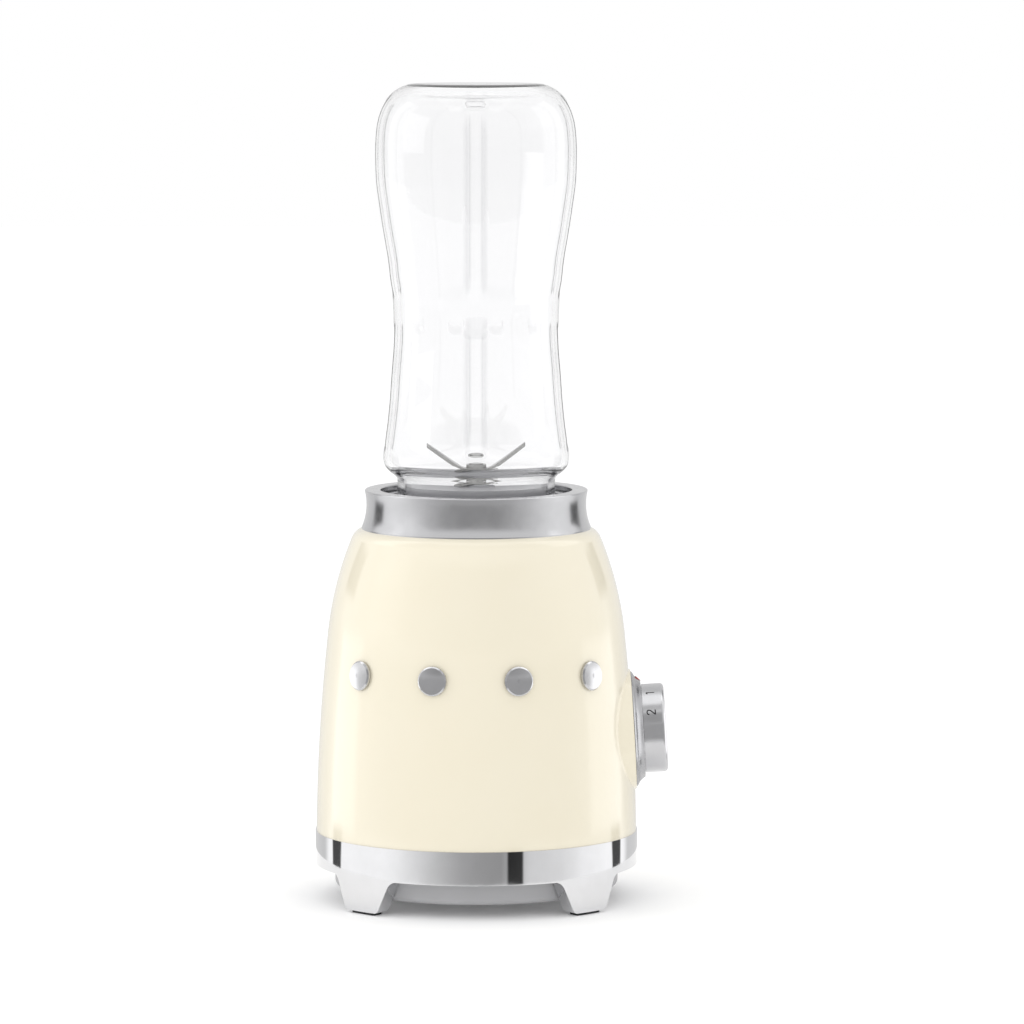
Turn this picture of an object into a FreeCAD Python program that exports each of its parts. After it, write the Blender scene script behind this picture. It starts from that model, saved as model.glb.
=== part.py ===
import FreeCAD, Part
import math
import os
import re
import Sketcher

# A personal blender: a motor base with four legs, a painted shell, a knob on its right-hand side,
# a lift-off blade unit and an upturned bottle. Millimetres, +Z up. The origin is the point where
# the motor's axis meets the tabletop, and the front of the blender faces -Y.

SIZES = {
    # base skirt, its legs and feet
    "skirt_radius": 69.2,
    "skirt_height": 29.5,
    "foot_height": 1.2,
    "foot_margin": 1.5,
    "foot_half_angle": 5.6,
    "foot_peg_radius": 2.0,
    "foot_peg_length": 3.0,
    "leg_depth": 8.0,
    "leg_round": 3.0,
    "leg_foot_angle": 37.0,
    "arch_height": 15.3,
    "arch_angle": 31.6,
    "arch_round": 6.2,
    "shelf_thickness": 3.0,
    "shelf_width": 19.2,
    "lip_height": 3.5,
    "lip_thickness": 2.6,
    # clearances
    "fit_gap": 0.2,
    "screw_gap": 0.05,
    "slide_gap": 0.3,
    "running_gap": 0.05,
    # painted shell
    "shell_inset": 0.4,
    "shell_height": 129.9,
    "shell_wall": 2.5,
    "shell_side_radius": 861.0,
    "shell_lean": 4.7,
    "shell_lean_height": 80.8,
    "shell_upper_radius": 150.8,
    "shoulder_width": 4.2,
    "shoulder_drop": 3.9,
    "shoulder_round": 7.0,
    "shell_boss_radius": 3.5,
    "shell_boss_height": 32.0,
    # collar and the cup that holds the blade unit
    "collar_radius": 49.1,
    "collar_height": 16.7,
    "collar_rim_radius": 47.7,
    "collar_waist_round": 24.9,
    "collar_bore": 43.4,
    "collar_lip_bore": 41.0,
    "collar_lip_thickness": 2.5,
    "collar_edge": 0.5,
    "cup_wall": 2.0,
    "cup_flange_radius": 48.0,
    "cup_flange_thickness": 2.5,
    "cup_depth": 10.4,
    "cup_floor_thickness": 3.0,
    "cup_dam_radius": 13.0,
    "cup_dam_height": 3.0,
    "guide_width": 4.0,
    "guide_depth": 1.9,
    "guide_height": 16.0,
    "post_radius": 4.0,
    "post_reach": 33.0,
    # motor
    "motor_lift": 4.5,
    "bracket_thickness": 3.0,
    "bracket_radius": 36.5,
    "commutator_lift": 6.0,
    "commutator_length": 12.0,
    "commutator_radius": 11.0,
    "stator_lift": 26.0,
    "stator_length": 30.0,
    "stator_radius": 35.0,
    "stator_yoke": 7.0,
    "pole_half_angle": 52.0,
    "air_gap": 0.5,
    "armature_radius": 17.1,
    "end_turn": 6.0,
    "fan_lift": 9.0,
    "fan_height": 8.0,
    "fan_radius": 23.5,
    "fan_disc": 1.2,
    "upper_bracket_lift": 20.0,
    "mount_flange": 3.0,
    "mount_radius": 6.0,
    "mount_core_radius": 3.6,
    "shaft_radius": 4.0,
    "shaft_end_radius": 3.5,
    "upper_bearing_radius": 11.0,
    "upper_bearing_width": 7.0,
    "lower_bearing_radius": 9.5,
    "lower_bearing_width": 6.0,
    "bearing_housing_wall": 2.5,
    "tie_bolt_reach": 31.5,
    "tie_bolt_radius": 1.5,
    "brush_width": 6.0,
    "brush_height": 8.0,
    # couplings between the motor and the blades
    "coupling_core": 7.0,
    "coupling_reach": 10.0,
    "tooth_width": 3.6,
    "tooth_count": 6,
    "coupling_engagement": 6.0,
    "coupling_lift": 2.5,
    "coupling_flange": 2.0,
    "driven_radius": 14.0,
    "driven_lift": 0.5,
    "driven_roof": 2.5,
    # blade unit
    "holder_radius": 38.8,
    "holder_wall": 2.8,
    "holder_floor": 2.5,
    "holder_lift": 2.5,
    "lug_reach": 1.8,
    "lug_width": 10.0,
    "lug_height": 9.0,
    "rim_drop": 8.1,
    "gasket_thickness": 2.0,
    "plug_radius": 29.8,
    "plug_height": 10.0,
    "hub_radius": 8.0,
    "hub_height": 2.5,
    "guard_radius": 17.0,
    "guard_wall": 2.0,
    "bush_wall": 1.2,
    "spindle_radius": 3.0,
    "blade_thickness": 1.5,
    "blade_width": 9.5,
    "blade_flat": 5.5,
    "upper_blade_rise": 36.0,
    "upper_blade_reach": 21.0,
    "lower_blade_rise": 0.0,
    "lower_blade_drop": 20.0,
    "lower_blade_facing": 38.0,
    "blade_tip_width": 2.5,
    "lower_blade_reach": 13.0,
    "blade_nut_height": 2.2,
    "spindle_stand": 0.4,
    "blade_nut_width": 7.0,
    # bottle
    "bottle_height": 181.4,
    "bottle_wall": 2.8,
    "neck_radius": 33.9,
    "neck_height": 13.0,
    "thread_reach": 1.5,
    "thread_width": 2.0,
    "bottle_shoulder_radius": 39.8,
    "bottle_shoulder_height": 20.0,
    "waist_radius": 35.3,
    "waist_height": 84.0,
    "belly_radius": 43.3,
    "belly_drop": 31.4,
    "crown_drop": 28.4,
    "crown_flat_radius": 28.0,
    # knob and its switch
    "knob_height": 72.6,
    "knob_setback": 1.3,
    "knob_tilt": 3.3,
    "knob_radius": 19.0,
    "knob_face": 13.8,
    "knob_round": 1.6,
    "knob_wall": 2.0,
    "bezel_base_radius": 24.8,
    "bezel_face_radius": 20.8,
    "bezel_thickness": 4.0,
    "bezel_floor": 1.2,
    "boss_face_radius": 25.5,
    "boss_base_radius": 29.8,
    "boss_depth": 8.0,
    "bushing_radius": 4.5,
    "switch_width": 24.0,
    "switch_depth": 18.0,
    "switch_rise": 2.5,
    "switch_setback": 1.0,
    "bushing_reach": 3.3,
    "bushing_shoulder": 2.0,
    "switch_nut_height": 1.9,
    "switch_nut_apothem": 6.5,
    "knob_spindle_radius": 3.0,
    "index_width": 1.4,
    "index_length": 2.2,
    "index_stand": 0.1,
    # studs on the front
    "stud_radius": 6.2,
    "stud_edge_height": 1.4,
    "stud_crown": 0.5,
    "stud_pin_radius": 1.3,
    "stud_pin_length": 6.5,
    "stud_height": 101.0,
    "stud_setback": 3.4,
    "stud_lean": 4.9,
    "stud_spacing": 32.0,
    # bottom cover and cord gland
    "cover_radius": 60.8,
    "cover_bottom": 5.6,
    "cover_wall": 2.5,
    "cover_round": 2.4,
    "cover_boss_radius": 4.5,
    "vent_inner": 22.0,
    "vent_outer": 40.0,
    "vent_half_angle": 4.0,
    "screw_reach": 54.0,
    "gland_bore": 2.9,
    "gland_wall": 1.0,
    "gland_flange": 0.6,
    "gland_flange_reach": 0.7,
    "gland_block": 13.0,
    "gland_block_depth": 9.0,
    # electrics and the lid switch
    "board_length": 110.0,
    "board_width": 50.0,
    "board_thickness": 1.6,
    "plunger_radius": 2.0,
    "lid_switch_height": 11.0,
}

doc = FreeCAD.newDocument("personal_blender")
sheet = doc.addObject("Spreadsheet::Sheet", "Sizes")
for row, (alias, number) in enumerate(SIZES.items(), start=1):
    sheet.set(f"B{row}", str(number))
    sheet.setAlias(f"B{row}", alias)
doc.recompute()

nodes = []


# Helpers for formulas, sketches and features --------------------------------------------------

def formula(text):
    """Return the text with each size name pointing at its cell in the sheet."""
    return re.sub(r"[a-z_]+", lambda word: "Sizes." + word[0] if word[0] in SIZES else word[0], str(text))


def value(text):
    """Work out a formula from the sheet's present sizes."""
    return float(sheet.evalExpression(formula(text)))


def degrees(text):
    """Turn an angle that a formula's function gives into a plain number of degrees."""
    return f"({text} / 1 deg)"


def bind(thing, prop, text):
    """Drive a property by a formula of sheet sizes."""
    thing.setExpression(prop, formula(text))


def node(thing, label):
    """Name a finished piece and list it for export."""
    thing.Label = label
    nodes.append(thing)
    return thing


def place(thing, x="0", y="0", z="0", turn="0", tip="0", prop="Placement"):
    """Tip a thing from +Z towards +X, turn it about Z, and set its origin at a point."""
    setattr(thing, prop, FreeCAD.Placement(FreeCAD.Vector(), FreeCAD.Rotation(value(turn), value(tip), 0)))
    for axis, text in zip("xyz", (x, y, z)):
        bind(thing, f"{prop}.Base.{axis}", text)


def dimension(sketch, text, *constrained):
    """Add a dimension to a sketch and bind it to a formula."""
    index = sketch.addConstraint(Sketcher.Constraint(*constrained, value(text)))
    bind(sketch, f"Constraints[{index}]", text)


def locate(sketch, geometry, point, x, y):
    """Fix one point of a sketch by its distances from the sketch's origin."""
    if x == "0":
        sketch.addConstraint(Sketcher.Constraint("PointOnObject", geometry, point, -2))
    else:
        dimension(sketch, x, "DistanceX", -1, 1, geometry, point)
    if y == "0":
        sketch.addConstraint(Sketcher.Constraint("PointOnObject", geometry, point, -1))
    else:
        dimension(sketch, y, "DistanceY", -1, 1, geometry, point)


def circle(sketch, x, y, radius):
    """Draw a circle fixed by its centre and radius."""
    centre = FreeCAD.Vector(value(x), value(y), 0)
    geometry = sketch.addGeometry(Part.Circle(centre, FreeCAD.Vector(0, 0, 1), value(radius)))
    locate(sketch, geometry, 3, x, y)
    dimension(sketch, radius, "Radius", geometry)


def arc_between(start, end, side, radius):
    """Return the shorter arc from start to end whose centre lies on the given side of travel."""
    chord = end - start
    across_chord = FreeCAD.Vector(-chord.y, chord.x, 0).normalize()
    depth = max(radius ** 2 - (chord.Length / 2) ** 2, 0) ** 0.5
    centre = (start + end) * 0.5 + across_chord * (depth if side == "left" else -depth)
    first, last = (start, end) if side == "left" else (end, start)
    angles = [math.atan2(point.y - centre.y, point.x - centre.x) for point in (first, last)]
    ring = Part.Circle(centre, FreeCAD.Vector(0, 0, 1), (start - centre).Length)
    return Part.ArcOfCircle(ring, angles[0], angles[1])


def outline(sketch, *corners):
    """Draw a closed outline. A corner is (x, y), with (side, radius) added when an arc leaves it."""
    points = [FreeCAD.Vector(value(corner[0]), value(corner[1]), 0) for corner in corners]
    ends = []
    for corner, start, end in zip(corners, points, points[1:] + points[:1]):
        curved = len(corner) > 2
        straight = Part.LineSegment(start, end)
        edge = arc_between(start, end, corner[2], value(corner[3])) if curved else straight
        geometry = sketch.addGeometry(edge)
        clockwise = curved and corner[2] == "right"
        ends.append((geometry, 2, 1) if clockwise else (geometry, 1, 2))
    for index, (corner, (geometry, first, last)) in enumerate(zip(corners, ends)):
        before = ends[index - 1]
        sketch.addConstraint(Sketcher.Constraint("Coincident", before[0], before[2], geometry, first))
        locate(sketch, geometry, first, corner[0], corner[1])
    for corner, (geometry, first, last) in zip(corners, ends):
        if len(corner) > 2:
            dimension(sketch, corner[3], "Radius", geometry)


def rectangle(sketch, left, bottom, width, depth):
    """Draw an upright rectangle from its lower left corner."""
    left, bottom, width, depth = (f"({text})" for text in (left, bottom, width, depth))
    right = f"({left} + {width})"
    top = f"({bottom} + {depth})"
    outline(sketch, (left, bottom), (right, bottom), (right, top), (left, top))


def sector(sketch, inner, outer, middle, half_angle):
    """Draw a piece of a ring about the origin, between two radii and either side of one angle."""
    inner, outer, middle, half_angle = (f"({text})" for text in (inner, outer, middle, half_angle))
    low = f"({middle} - {half_angle})"
    high = f"({middle} + {half_angle})"
    outline(
        sketch,
        (f"{inner} * cos({low})", f"{inner} * sin({low})"),
        (f"{outer} * cos({low})", f"{outer} * sin({low})", "left", outer),
        (f"{outer} * cos({high})", f"{outer} * sin({high})"),
        (f"{inner} * cos({high})", f"{inner} * sin({high})", "right", inner),
    )


def new_body(label):
    """Start a body for one piece."""
    return node(doc.addObject("PartDesign::Body", label), label)


def origin_feature(body, role):
    """Find one of a body's own origin planes or axes."""
    return [feature for feature in body.Origin.OriginFeatures if feature.Role == role][0]


def new_sketch(body, plane, offset, drawings):
    """Put a sketch on an origin plane of the body, and draw in it."""
    sketch = body.newObject("Sketcher::SketchObject", f"{body.Name}_sketch")
    sketch.AttachmentSupport = (origin_feature(body, plane), [""])
    sketch.MapMode = "FlatFace"
    bind(sketch, "AttachmentOffset.Base.z", offset)
    for draw, *values in drawings:
        draw(sketch, *values)
    return sketch


def turn(body, *corners, kind="Revolution"):
    """Turn an outline of (radius, height) corners about the body's Z axis."""
    sketch = new_sketch(body, "XZ_Plane", "0", [(outline, *corners)])
    feature = body.newObject(f"PartDesign::{kind}", f"{body.Name}_{kind.lower()}")
    feature.Profile = sketch
    feature.ReferenceAxis = (sketch, ["V_Axis"])
    feature.Angle = 360
    sketch.Visibility = False
    return feature


def turned(label, *corners):
    """Make a piece that is one turned outline."""
    body = new_body(label)
    turn(body, *corners)
    return body


def extrude(body, kind, bottom, height, drawings):
    """Pad or pocket drawings upwards from a height."""
    sketch = new_sketch(body, "XY_Plane", bottom, drawings)
    feature = body.newObject(f"PartDesign::{kind}", f"{body.Name}_{kind.lower()}")
    feature.Profile = sketch
    feature.Reversed = kind == "Pocket"
    bind(feature, "Length", height)
    return feature


def pad(body, bottom, height, *drawings):
    """Add material upwards from a height."""
    return extrude(body, "Pad", bottom, height, drawings)


def pocket(body, bottom, height, *drawings):
    """Cut material upwards from a height."""
    return extrude(body, "Pocket", bottom, height, drawings)


def around(body, features, count, angle="360"):
    """Repeat features about the body's Z axis."""
    pattern = body.newObject("PartDesign::PolarPattern", f"{body.Name}_pattern")
    pattern.Originals = features
    pattern.Axis = (origin_feature(body, "Z_Axis"), [""])
    bind(pattern, "Angle", angle)
    bind(pattern, "Occurrences", count)
    body.Tip = pattern
    return pattern


def across(body, features):
    """Mirror features to the other side of the body's YZ plane."""
    mirror = body.newObject("PartDesign::Mirrored", f"{body.Name}_mirror")
    mirror.Originals = features
    mirror.MirrorPlane = (origin_feature(body, "YZ_Plane"), [""])
    body.Tip = mirror
    return mirror


def screws(label, count, reach, start, head, shank):
    """Make a ring of screws. Head and shank are each (bottom, height, radius)."""
    body = new_body(label)
    centre = (f"{reach} * cos({start})", f"{reach} * sin({start})")
    parts = [pad(body, bottom, height, (circle, *centre, radius)) for bottom, height, radius in (head, shank)]
    around(body, parts, count)
    return body


# Heights worked out from the sizes -------------------------------------------------------------

shell_top = "(skirt_height + shell_height)"
collar_top = f"({shell_top} + collar_height)"
shelf_top = "(arch_height + shelf_thickness)"
shelf_inner = "(skirt_radius - shelf_width)"
shell_foot_radius = "(skirt_radius - shell_inset)"
lip_outer = f"({shell_foot_radius} - shell_wall - fit_gap)"
leg_inner = "(skirt_radius - leg_depth)"
leg_middle = "(skirt_radius - leg_depth / 2)"

cup_floor = f"({shell_top} - cup_depth)"
cup_bottom = f"({cup_floor} - cup_floor_thickness)"
cup_rim = f"({collar_top} - collar_lip_thickness - fit_gap)"
cup_outer = "(collar_bore - fit_gap)"
cup_inner = f"({cup_outer} - cup_wall)"
cup_flange_bottom = f"({shell_top} - shell_wall - cup_flange_thickness)"
collar_screw_reach = "((collar_bore + cup_flange_radius) / 2)"

lower_bracket = "(skirt_height + motor_lift)"
commutator_bottom = f"({lower_bracket} + commutator_lift)"
stator_bottom = f"({lower_bracket} + stator_lift)"
stator_top = f"({stator_bottom} + stator_length)"
fan_bottom = f"({stator_top} + fan_lift)"
upper_bracket = f"({stator_top} + upper_bracket_lift)"
upper_bracket_top = f"({upper_bracket} + bracket_thickness)"
post_bottom = f"({upper_bracket_top} + mount_flange)"
lower_bearing_bottom = f"({lower_bracket} + bracket_thickness - lower_bearing_width)"

coupling_bottom = f"({cup_floor} + coupling_lift)"
teeth_bottom = f"({coupling_bottom} + coupling_flange)"
coupling_top = f"({teeth_bottom} + coupling_engagement + slide_gap)"
driven_bottom = f"({teeth_bottom} + driven_lift)"
driven_cavity_top = f"({coupling_top} + slide_gap)"
driven_top = f"({driven_cavity_top} + driven_roof)"

holder_bottom = f"({cup_floor} + holder_lift)"
bottle_rim = f"({collar_top} - rim_drop)"
holder_deck = f"({bottle_rim} - gasket_thickness)"
holder_underside = f"({holder_deck} - holder_floor)"
holder_inner = "(holder_radius - holder_wall)"
plug_top = f"({bottle_rim} + plug_height)"
plug_underside = f"({plug_top} - holder_floor)"
hub_top = f"({plug_top} + hub_height)"
bush_radius = "(spindle_radius + running_gap + bush_wall)"
lower_blade_bottom = f"({hub_top} + 1)"
upper_blade_bottom = f"({lower_blade_bottom} + blade_thickness)"
nut_bottom = f"({upper_blade_bottom} + blade_thickness)"
nut_top = f"({nut_bottom} + blade_nut_height)"

knob_seat = f"({shell_foot_radius} - knob_setback)"
stud_seat = f"({shell_foot_radius} - stud_setback)"
stud_start = "(-90 - 1.5 * stud_spacing)"
gland_height = "(cover_bottom + (arch_height - cover_bottom) / 2)"
lid_switch_reach = "(holder_radius - holder_wall / 2)"
plunger_bottom = f"({cup_bottom} - 4.5)"
board_screw_reach = "(board_length / 2 - 2.5)"
block_depth = "(cover_wall + gland_block_depth)"


def on_knob_axis(thing, along="0"):
    """Set a thing's own Z along the knob's axis, at a distance out from the shell."""
    x = f"{knob_seat} + {along} * cos(knob_tilt)"
    z = f"knob_height + {along} * sin(knob_tilt)"
    place(thing, x, "0", z, "0", "90 - knob_tilt")


def on_stud(thing, index, along="0", prop="Placement"):
    """Set a thing's own Z along the axis of one of the studs, at a distance out from the shell."""
    angle = f"({stud_start} + {index} * stud_spacing)"
    reach = f"({stud_seat} + {along} * cos(stud_lean))"
    x = f"{reach} * cos({angle})"
    y = f"{reach} * sin({angle})"
    z = f"stud_height + {along} * sin(stud_lean)"
    place(thing, x, y, z, angle, "90 - stud_lean", prop)


# Base: feet, skirt, bottom cover ---------------------------------------------------------------

def rubber_feet():
    """Four pads under the legs, each with a peg pressed into the leg."""
    body = new_body("rubber_feet")
    inner = f"({leg_inner} + foot_margin)"
    outer = "(skirt_radius - foot_margin)"
    sole = pad(body, "0", "foot_height", (sector, inner, outer, "45", "foot_half_angle"))
    centre = (f"{leg_middle} * cos(45)", f"{leg_middle} * sin(45)")
    peg = pad(body, "foot_height", "foot_peg_length", (circle, *centre, "foot_peg_radius"))
    around(body, [sole, peg], 4)


def arch_outline(distance):
    """Outline of the gap between two legs on a plane at this distance from the motor's axis.

    Its sides lie on planes through the axis. The leg's foot flares out by the smaller round, and
    the gap's upper corners have the larger round.
    """
    foot = f"{distance} * tan(leg_foot_angle)"
    head = f"{distance} * tan(arch_angle)"
    rise = "(arch_height - foot_height)"
    lean = degrees(f"atan(({foot} - {head}) / {rise})")
    small = f"(leg_round * tan((90 - {lean}) / 2))"
    large = f"(arch_round * tan((90 - {lean}) / 2))"
    right = [
        (f"{foot} + {small}", "-1"),
        (f"{foot} + {small}", "foot_height", "right", "leg_round"),
        (f"{foot} - {small} * sin({lean})", f"foot_height + {small} * cos({lean})"),
        (f"{head} + {large} * sin({lean})", f"arch_height - {large} * cos({lean})", "left", "arch_round"),
        (f"{head} - {large}", "arch_height"),
    ]
    left = [(f"-({x})", y) for x, y, *bend in reversed(right)]
    left[0] = (*left[0], "left", "arch_round")
    left[2] = (*left[2], "right", "leg_round")
    return (outline, *right, *left)


def base_skirt():
    """Plated ring that carries everything: four legs, an inner shelf and a lip inside the shell."""
    body = new_body("base_skirt")
    lip_inner = f"({lip_outer} - lip_thickness)"
    turn(
        body,
        (leg_inner, "foot_height"),
        ("skirt_radius", "foot_height"),
        ("skirt_radius", "skirt_height"),
        (lip_outer, "skirt_height"),
        (lip_outer, "skirt_height + lip_height"),
        (lip_inner, "skirt_height + lip_height"),
        (lip_inner, shelf_top),
        (shelf_inner, shelf_top),
        (shelf_inner, "arch_height"),
        (leg_inner, "arch_height"),
    )
    gap = body.newObject("PartDesign::SubtractiveLoft", "base_skirt_gap")
    gap.Profile = new_sketch(body, "XZ_Plane", "skirt_radius + 2", [arch_outline("(skirt_radius + 2)")])
    inner_distance = f"({leg_inner} / 2)"
    gap.Sections = [(new_sketch(body, "XZ_Plane", inner_distance, [arch_outline(inner_distance)]), [""])]
    gap.Ruled = True
    around(body, [gap], 4)
    leg = (f"{leg_middle} * cos(45)", f"{leg_middle} * sin(45)")
    peg_hole = pocket(body, "foot_height", "foot_peg_length + fit_gap", (circle, *leg, "foot_peg_radius"))
    shell_screw = ("screw_reach * cos(45)", "screw_reach * sin(45)")
    shell_hole = pocket(body, "arch_height", "shelf_thickness", (circle, *shell_screw, "1.5 + screw_gap"))
    cover_screw = ("screw_reach * cos(15)", "screw_reach * sin(15)")
    cover_hole = pocket(body, "arch_height", "shelf_thickness", (circle, *cover_screw, "1.5 + screw_gap"))
    around(body, [peg_hole, shell_hole, cover_hole], 4)
    board_hole = pocket(body, "arch_height", "shelf_thickness",
                        (circle, board_screw_reach, "0", "1 + screw_gap"))
    across(body, [board_hole])


def bottom_cover():
    """Shallow moulded tray under the motor, with air slots, screw bosses and the cord's outlet."""
    body = new_body("bottom_cover")
    turn(
        body,
        ("0", "cover_bottom"),
        ("cover_radius - cover_round", "cover_bottom", "left", "cover_round"),
        ("cover_radius", "cover_bottom + cover_round"),
        ("cover_radius", "arch_height"),
        ("cover_radius - cover_wall", "arch_height"),
        ("cover_radius - cover_wall", "cover_bottom + cover_wall"),
        ("0", "cover_bottom + cover_wall"),
    )
    screw = ("screw_reach * cos(15)", "screw_reach * sin(15)")
    floor = "(cover_bottom + cover_wall)"
    boss = pad(body, floor, f"arch_height - {floor}", (circle, *screw, "cover_boss_radius"))
    around(body, [boss], 4)
    pad(body, floor, f"arch_height - {floor}",
        (rectangle, "-gland_block / 2", f"cover_radius - {block_depth}", "gland_block", "10"))
    bore = pocket(body, "cover_bottom", "arch_height - cover_bottom", (circle, *screw, "1.5 + screw_gap"))
    recess = pocket(body, "cover_bottom", "cover_wall + 0.5", (circle, *screw, "3 + fit_gap"))
    around(body, [bore, recess], 4)
    slot = pocket(body, "cover_bottom", "cover_wall",
                  (sector, "vent_inner", "vent_outer", "0", "vent_half_angle"))
    around(body, [slot], 12)
    outlet = body.newObject("PartDesign::Pocket", "bottom_cover_outlet")
    plane_offset = f"-(cover_radius - {block_depth} - 1)"
    hole = (circle, "0", gland_height, "gland_bore + gland_wall")
    outlet.Profile = new_sketch(body, "XZ_Plane", plane_offset, [hole])
    bind(outlet, "Length", f"{block_depth} + 3")


def cord_gland():
    """Rubber bush in the outlet, with a flange outside the tray."""
    body = new_body("cord_gland")
    outer = "(gland_bore + gland_wall)"
    end = f"({block_depth} + gland_flange)"
    turn(
        body,
        ("gland_bore", "0"),
        (outer, "0"),
        (outer, block_depth),
        (f"{outer} + gland_flange_reach", block_depth),
        (f"{outer} + gland_flange_reach", end),
        ("gland_bore", end),
    )
    place(body, "0", f"cover_radius - {block_depth}", gland_height, "90", "90")


# Shell, collar and cup -------------------------------------------------------------------------

def shell_side(inset):
    """Corners of the shell's flank, from its foot to its shoulder, set in by a distance."""
    lean_radius = f"({shell_foot_radius} - shell_lean - {inset})"
    shoulder_radius = f"(collar_radius + shoulder_width - {inset})"
    shoulder = f"({shell_top} - shoulder_drop - {inset} * 0.4)"
    return [
        (f"{shell_foot_radius} - {inset}", "skirt_height", "left", f"(shell_side_radius - {inset})"),
        (lean_radius, "skirt_height + shell_lean_height", "left", f"(shell_upper_radius - {inset})"),
        (shoulder_radius, shoulder),
    ]


def body_shell():
    """Painted shell: a turned wall with an inward top flange, a flat seat for the knob, and bosses."""
    body = new_body("body_shell")
    foot, lean, shoulder = shell_side("0")
    shoulder = (*shoulder, "left", "shoulder_round")
    turn(body, ("0", "skirt_height"), foot, lean, shoulder, ("collar_radius", shell_top), ("0", shell_top))
    for index in range(4):
        pin_hole = pocket(body, "0", "stud_pin_length + 3", (circle, "0", "0", "stud_pin_radius + screw_gap"))
        on_stud(pin_hole.Profile[0], index, "-stud_pin_length", "AttachmentOffset")
    seat = body.newObject("PartDesign::AdditiveCone", "body_shell_seat")
    bind(seat, "Radius1", "boss_base_radius")
    bind(seat, "Radius2", "boss_face_radius")
    bind(seat, "Height", "boss_depth")
    on_knob_axis(seat, "-boss_depth")
    foot, lean, shoulder = shell_side("shell_wall")
    underside = f"({shell_top} - shell_wall)"
    turn(
        body,
        ("0", "skirt_height - 1"),
        (foot[0], "skirt_height - 1"),
        foot,
        lean,
        shoulder,
        ("collar_radius - 0.1", underside),
        ("collar_bore + fit_gap", underside),
        ("collar_bore + fit_gap", f"{shell_top} + 1"),
        ("0", f"{shell_top} + 1"),
        kind="Groove",
    )
    bushing_hole = body.newObject("PartDesign::SubtractiveCylinder", "body_shell_knob_hole")
    bind(bushing_hole, "Radius", "bushing_radius + fit_gap")
    bind(bushing_hole, "Height", "boss_depth + 5")
    on_knob_axis(bushing_hole, "-boss_depth")
    flange_screw = (f"{collar_screw_reach} * cos(45)", f"{collar_screw_reach} * sin(45)")
    flange_hole = pocket(body, f"{shell_top} - shell_wall", "shell_wall",
                         (circle, *flange_screw, "1.1 + fit_gap"))
    around(body, [flange_hole], 4)
    screw = ("screw_reach * cos(45)", "screw_reach * sin(45)")
    boss = pad(body, shelf_top, "shell_boss_height", (circle, *screw, "shell_boss_radius"))
    rib_bottom = "(skirt_height + lip_height + fit_gap)"
    rib = pad(body, rib_bottom, f"{shelf_top} + shell_boss_height - {rib_bottom}",
              (sector, "screw_reach + 1", f"{shell_foot_radius} - shell_wall / 2", "45", "1.2"))
    around(body, [boss, rib], 4)
    pilot = pocket(body, shelf_top, "12", (circle, *screw, "1.5 + screw_gap"))
    around(body, [pilot], 4)


def collar_ring():
    """Satin metal collar with a waisted outside, and a lip round the opening at its top."""
    body = new_body("collar_ring")
    lip_bottom = f"({collar_top} - collar_lip_thickness)"
    turn(
        body,
        ("collar_bore", shell_top),
        ("collar_radius", shell_top),
        ("collar_radius", f"{shell_top} + collar_edge", "right", "collar_waist_round"),
        ("collar_rim_radius", f"{collar_top} - collar_edge", "left", "collar_edge"),
        ("collar_rim_radius - collar_edge", collar_top),
        ("collar_lip_bore + collar_edge", collar_top, "left", "collar_edge"),
        ("collar_lip_bore", f"{collar_top} - collar_edge"),
        ("collar_lip_bore", lip_bottom),
        ("collar_bore", lip_bottom),
    )
    screw = (f"{collar_screw_reach} * cos(45)", f"{collar_screw_reach} * sin(45)")
    pilot = pocket(body, shell_top, "4.2", (circle, *screw, "1.1 + screw_gap"))
    around(body, [pilot], 4)


def seat_cup():
    """Moulded cup under the collar: it takes the blade unit, and the motor hangs from its posts."""
    body = new_body("seat_cup")
    turn(
        body,
        ("6 + fit_gap", cup_bottom),
        (cup_outer, cup_bottom),
        (cup_outer, cup_flange_bottom),
        ("cup_flange_radius", cup_flange_bottom),
        ("cup_flange_radius", f"{cup_flange_bottom} + cup_flange_thickness"),
        (cup_outer, f"{cup_flange_bottom} + cup_flange_thickness"),
        (cup_outer, cup_rim),
        (cup_inner, cup_rim),
        (cup_inner, cup_floor),
        ("cup_dam_radius", cup_floor),
        ("cup_dam_radius", f"{cup_floor} + cup_dam_height"),
        ("cup_dam_radius - 1.5", f"{cup_floor} + cup_dam_height"),
        ("cup_dam_radius - 1.5", cup_floor),
        ("6 + fit_gap", cup_floor),
    )
    post = ("post_reach * cos(45)", "post_reach * sin(45)")
    leg = pad(body, post_bottom, f"{cup_bottom} - {post_bottom} + 0.5", (circle, *post, "post_radius"))
    around(body, [leg], 4)
    pilot = pocket(body, post_bottom, "6", (circle, *post, "1.5 + screw_gap"))
    around(body, [pilot], 4)
    guide_inner = f"({cup_inner} - guide_depth)"
    guide_half = degrees(f"asin(guide_width / 2 / {cup_inner})")
    guide_offset = degrees(f"asin((lug_width / 2 + 0.5) / {guide_inner})")
    guides = [
        pad(body, cup_floor, "guide_height",
            (sector, guide_inner, f"{cup_inner} + 0.5", f"(45 {sign} ({guide_offset} + {guide_half}))", guide_half))
        for sign in ("-", "+")
    ]
    around(body, guides, 4)
    screw = (f"{collar_screw_reach} * cos(45)", f"{collar_screw_reach} * sin(45)")
    hole = pocket(body, cup_flange_bottom, "cup_flange_thickness", (circle, *screw, "1.1 + fit_gap"))
    around(body, [hole], 4)
    pocket(body, cup_bottom, "cup_floor_thickness",
           (circle, f"-({lid_switch_reach})", "0", "plunger_radius + running_gap"))


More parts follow.
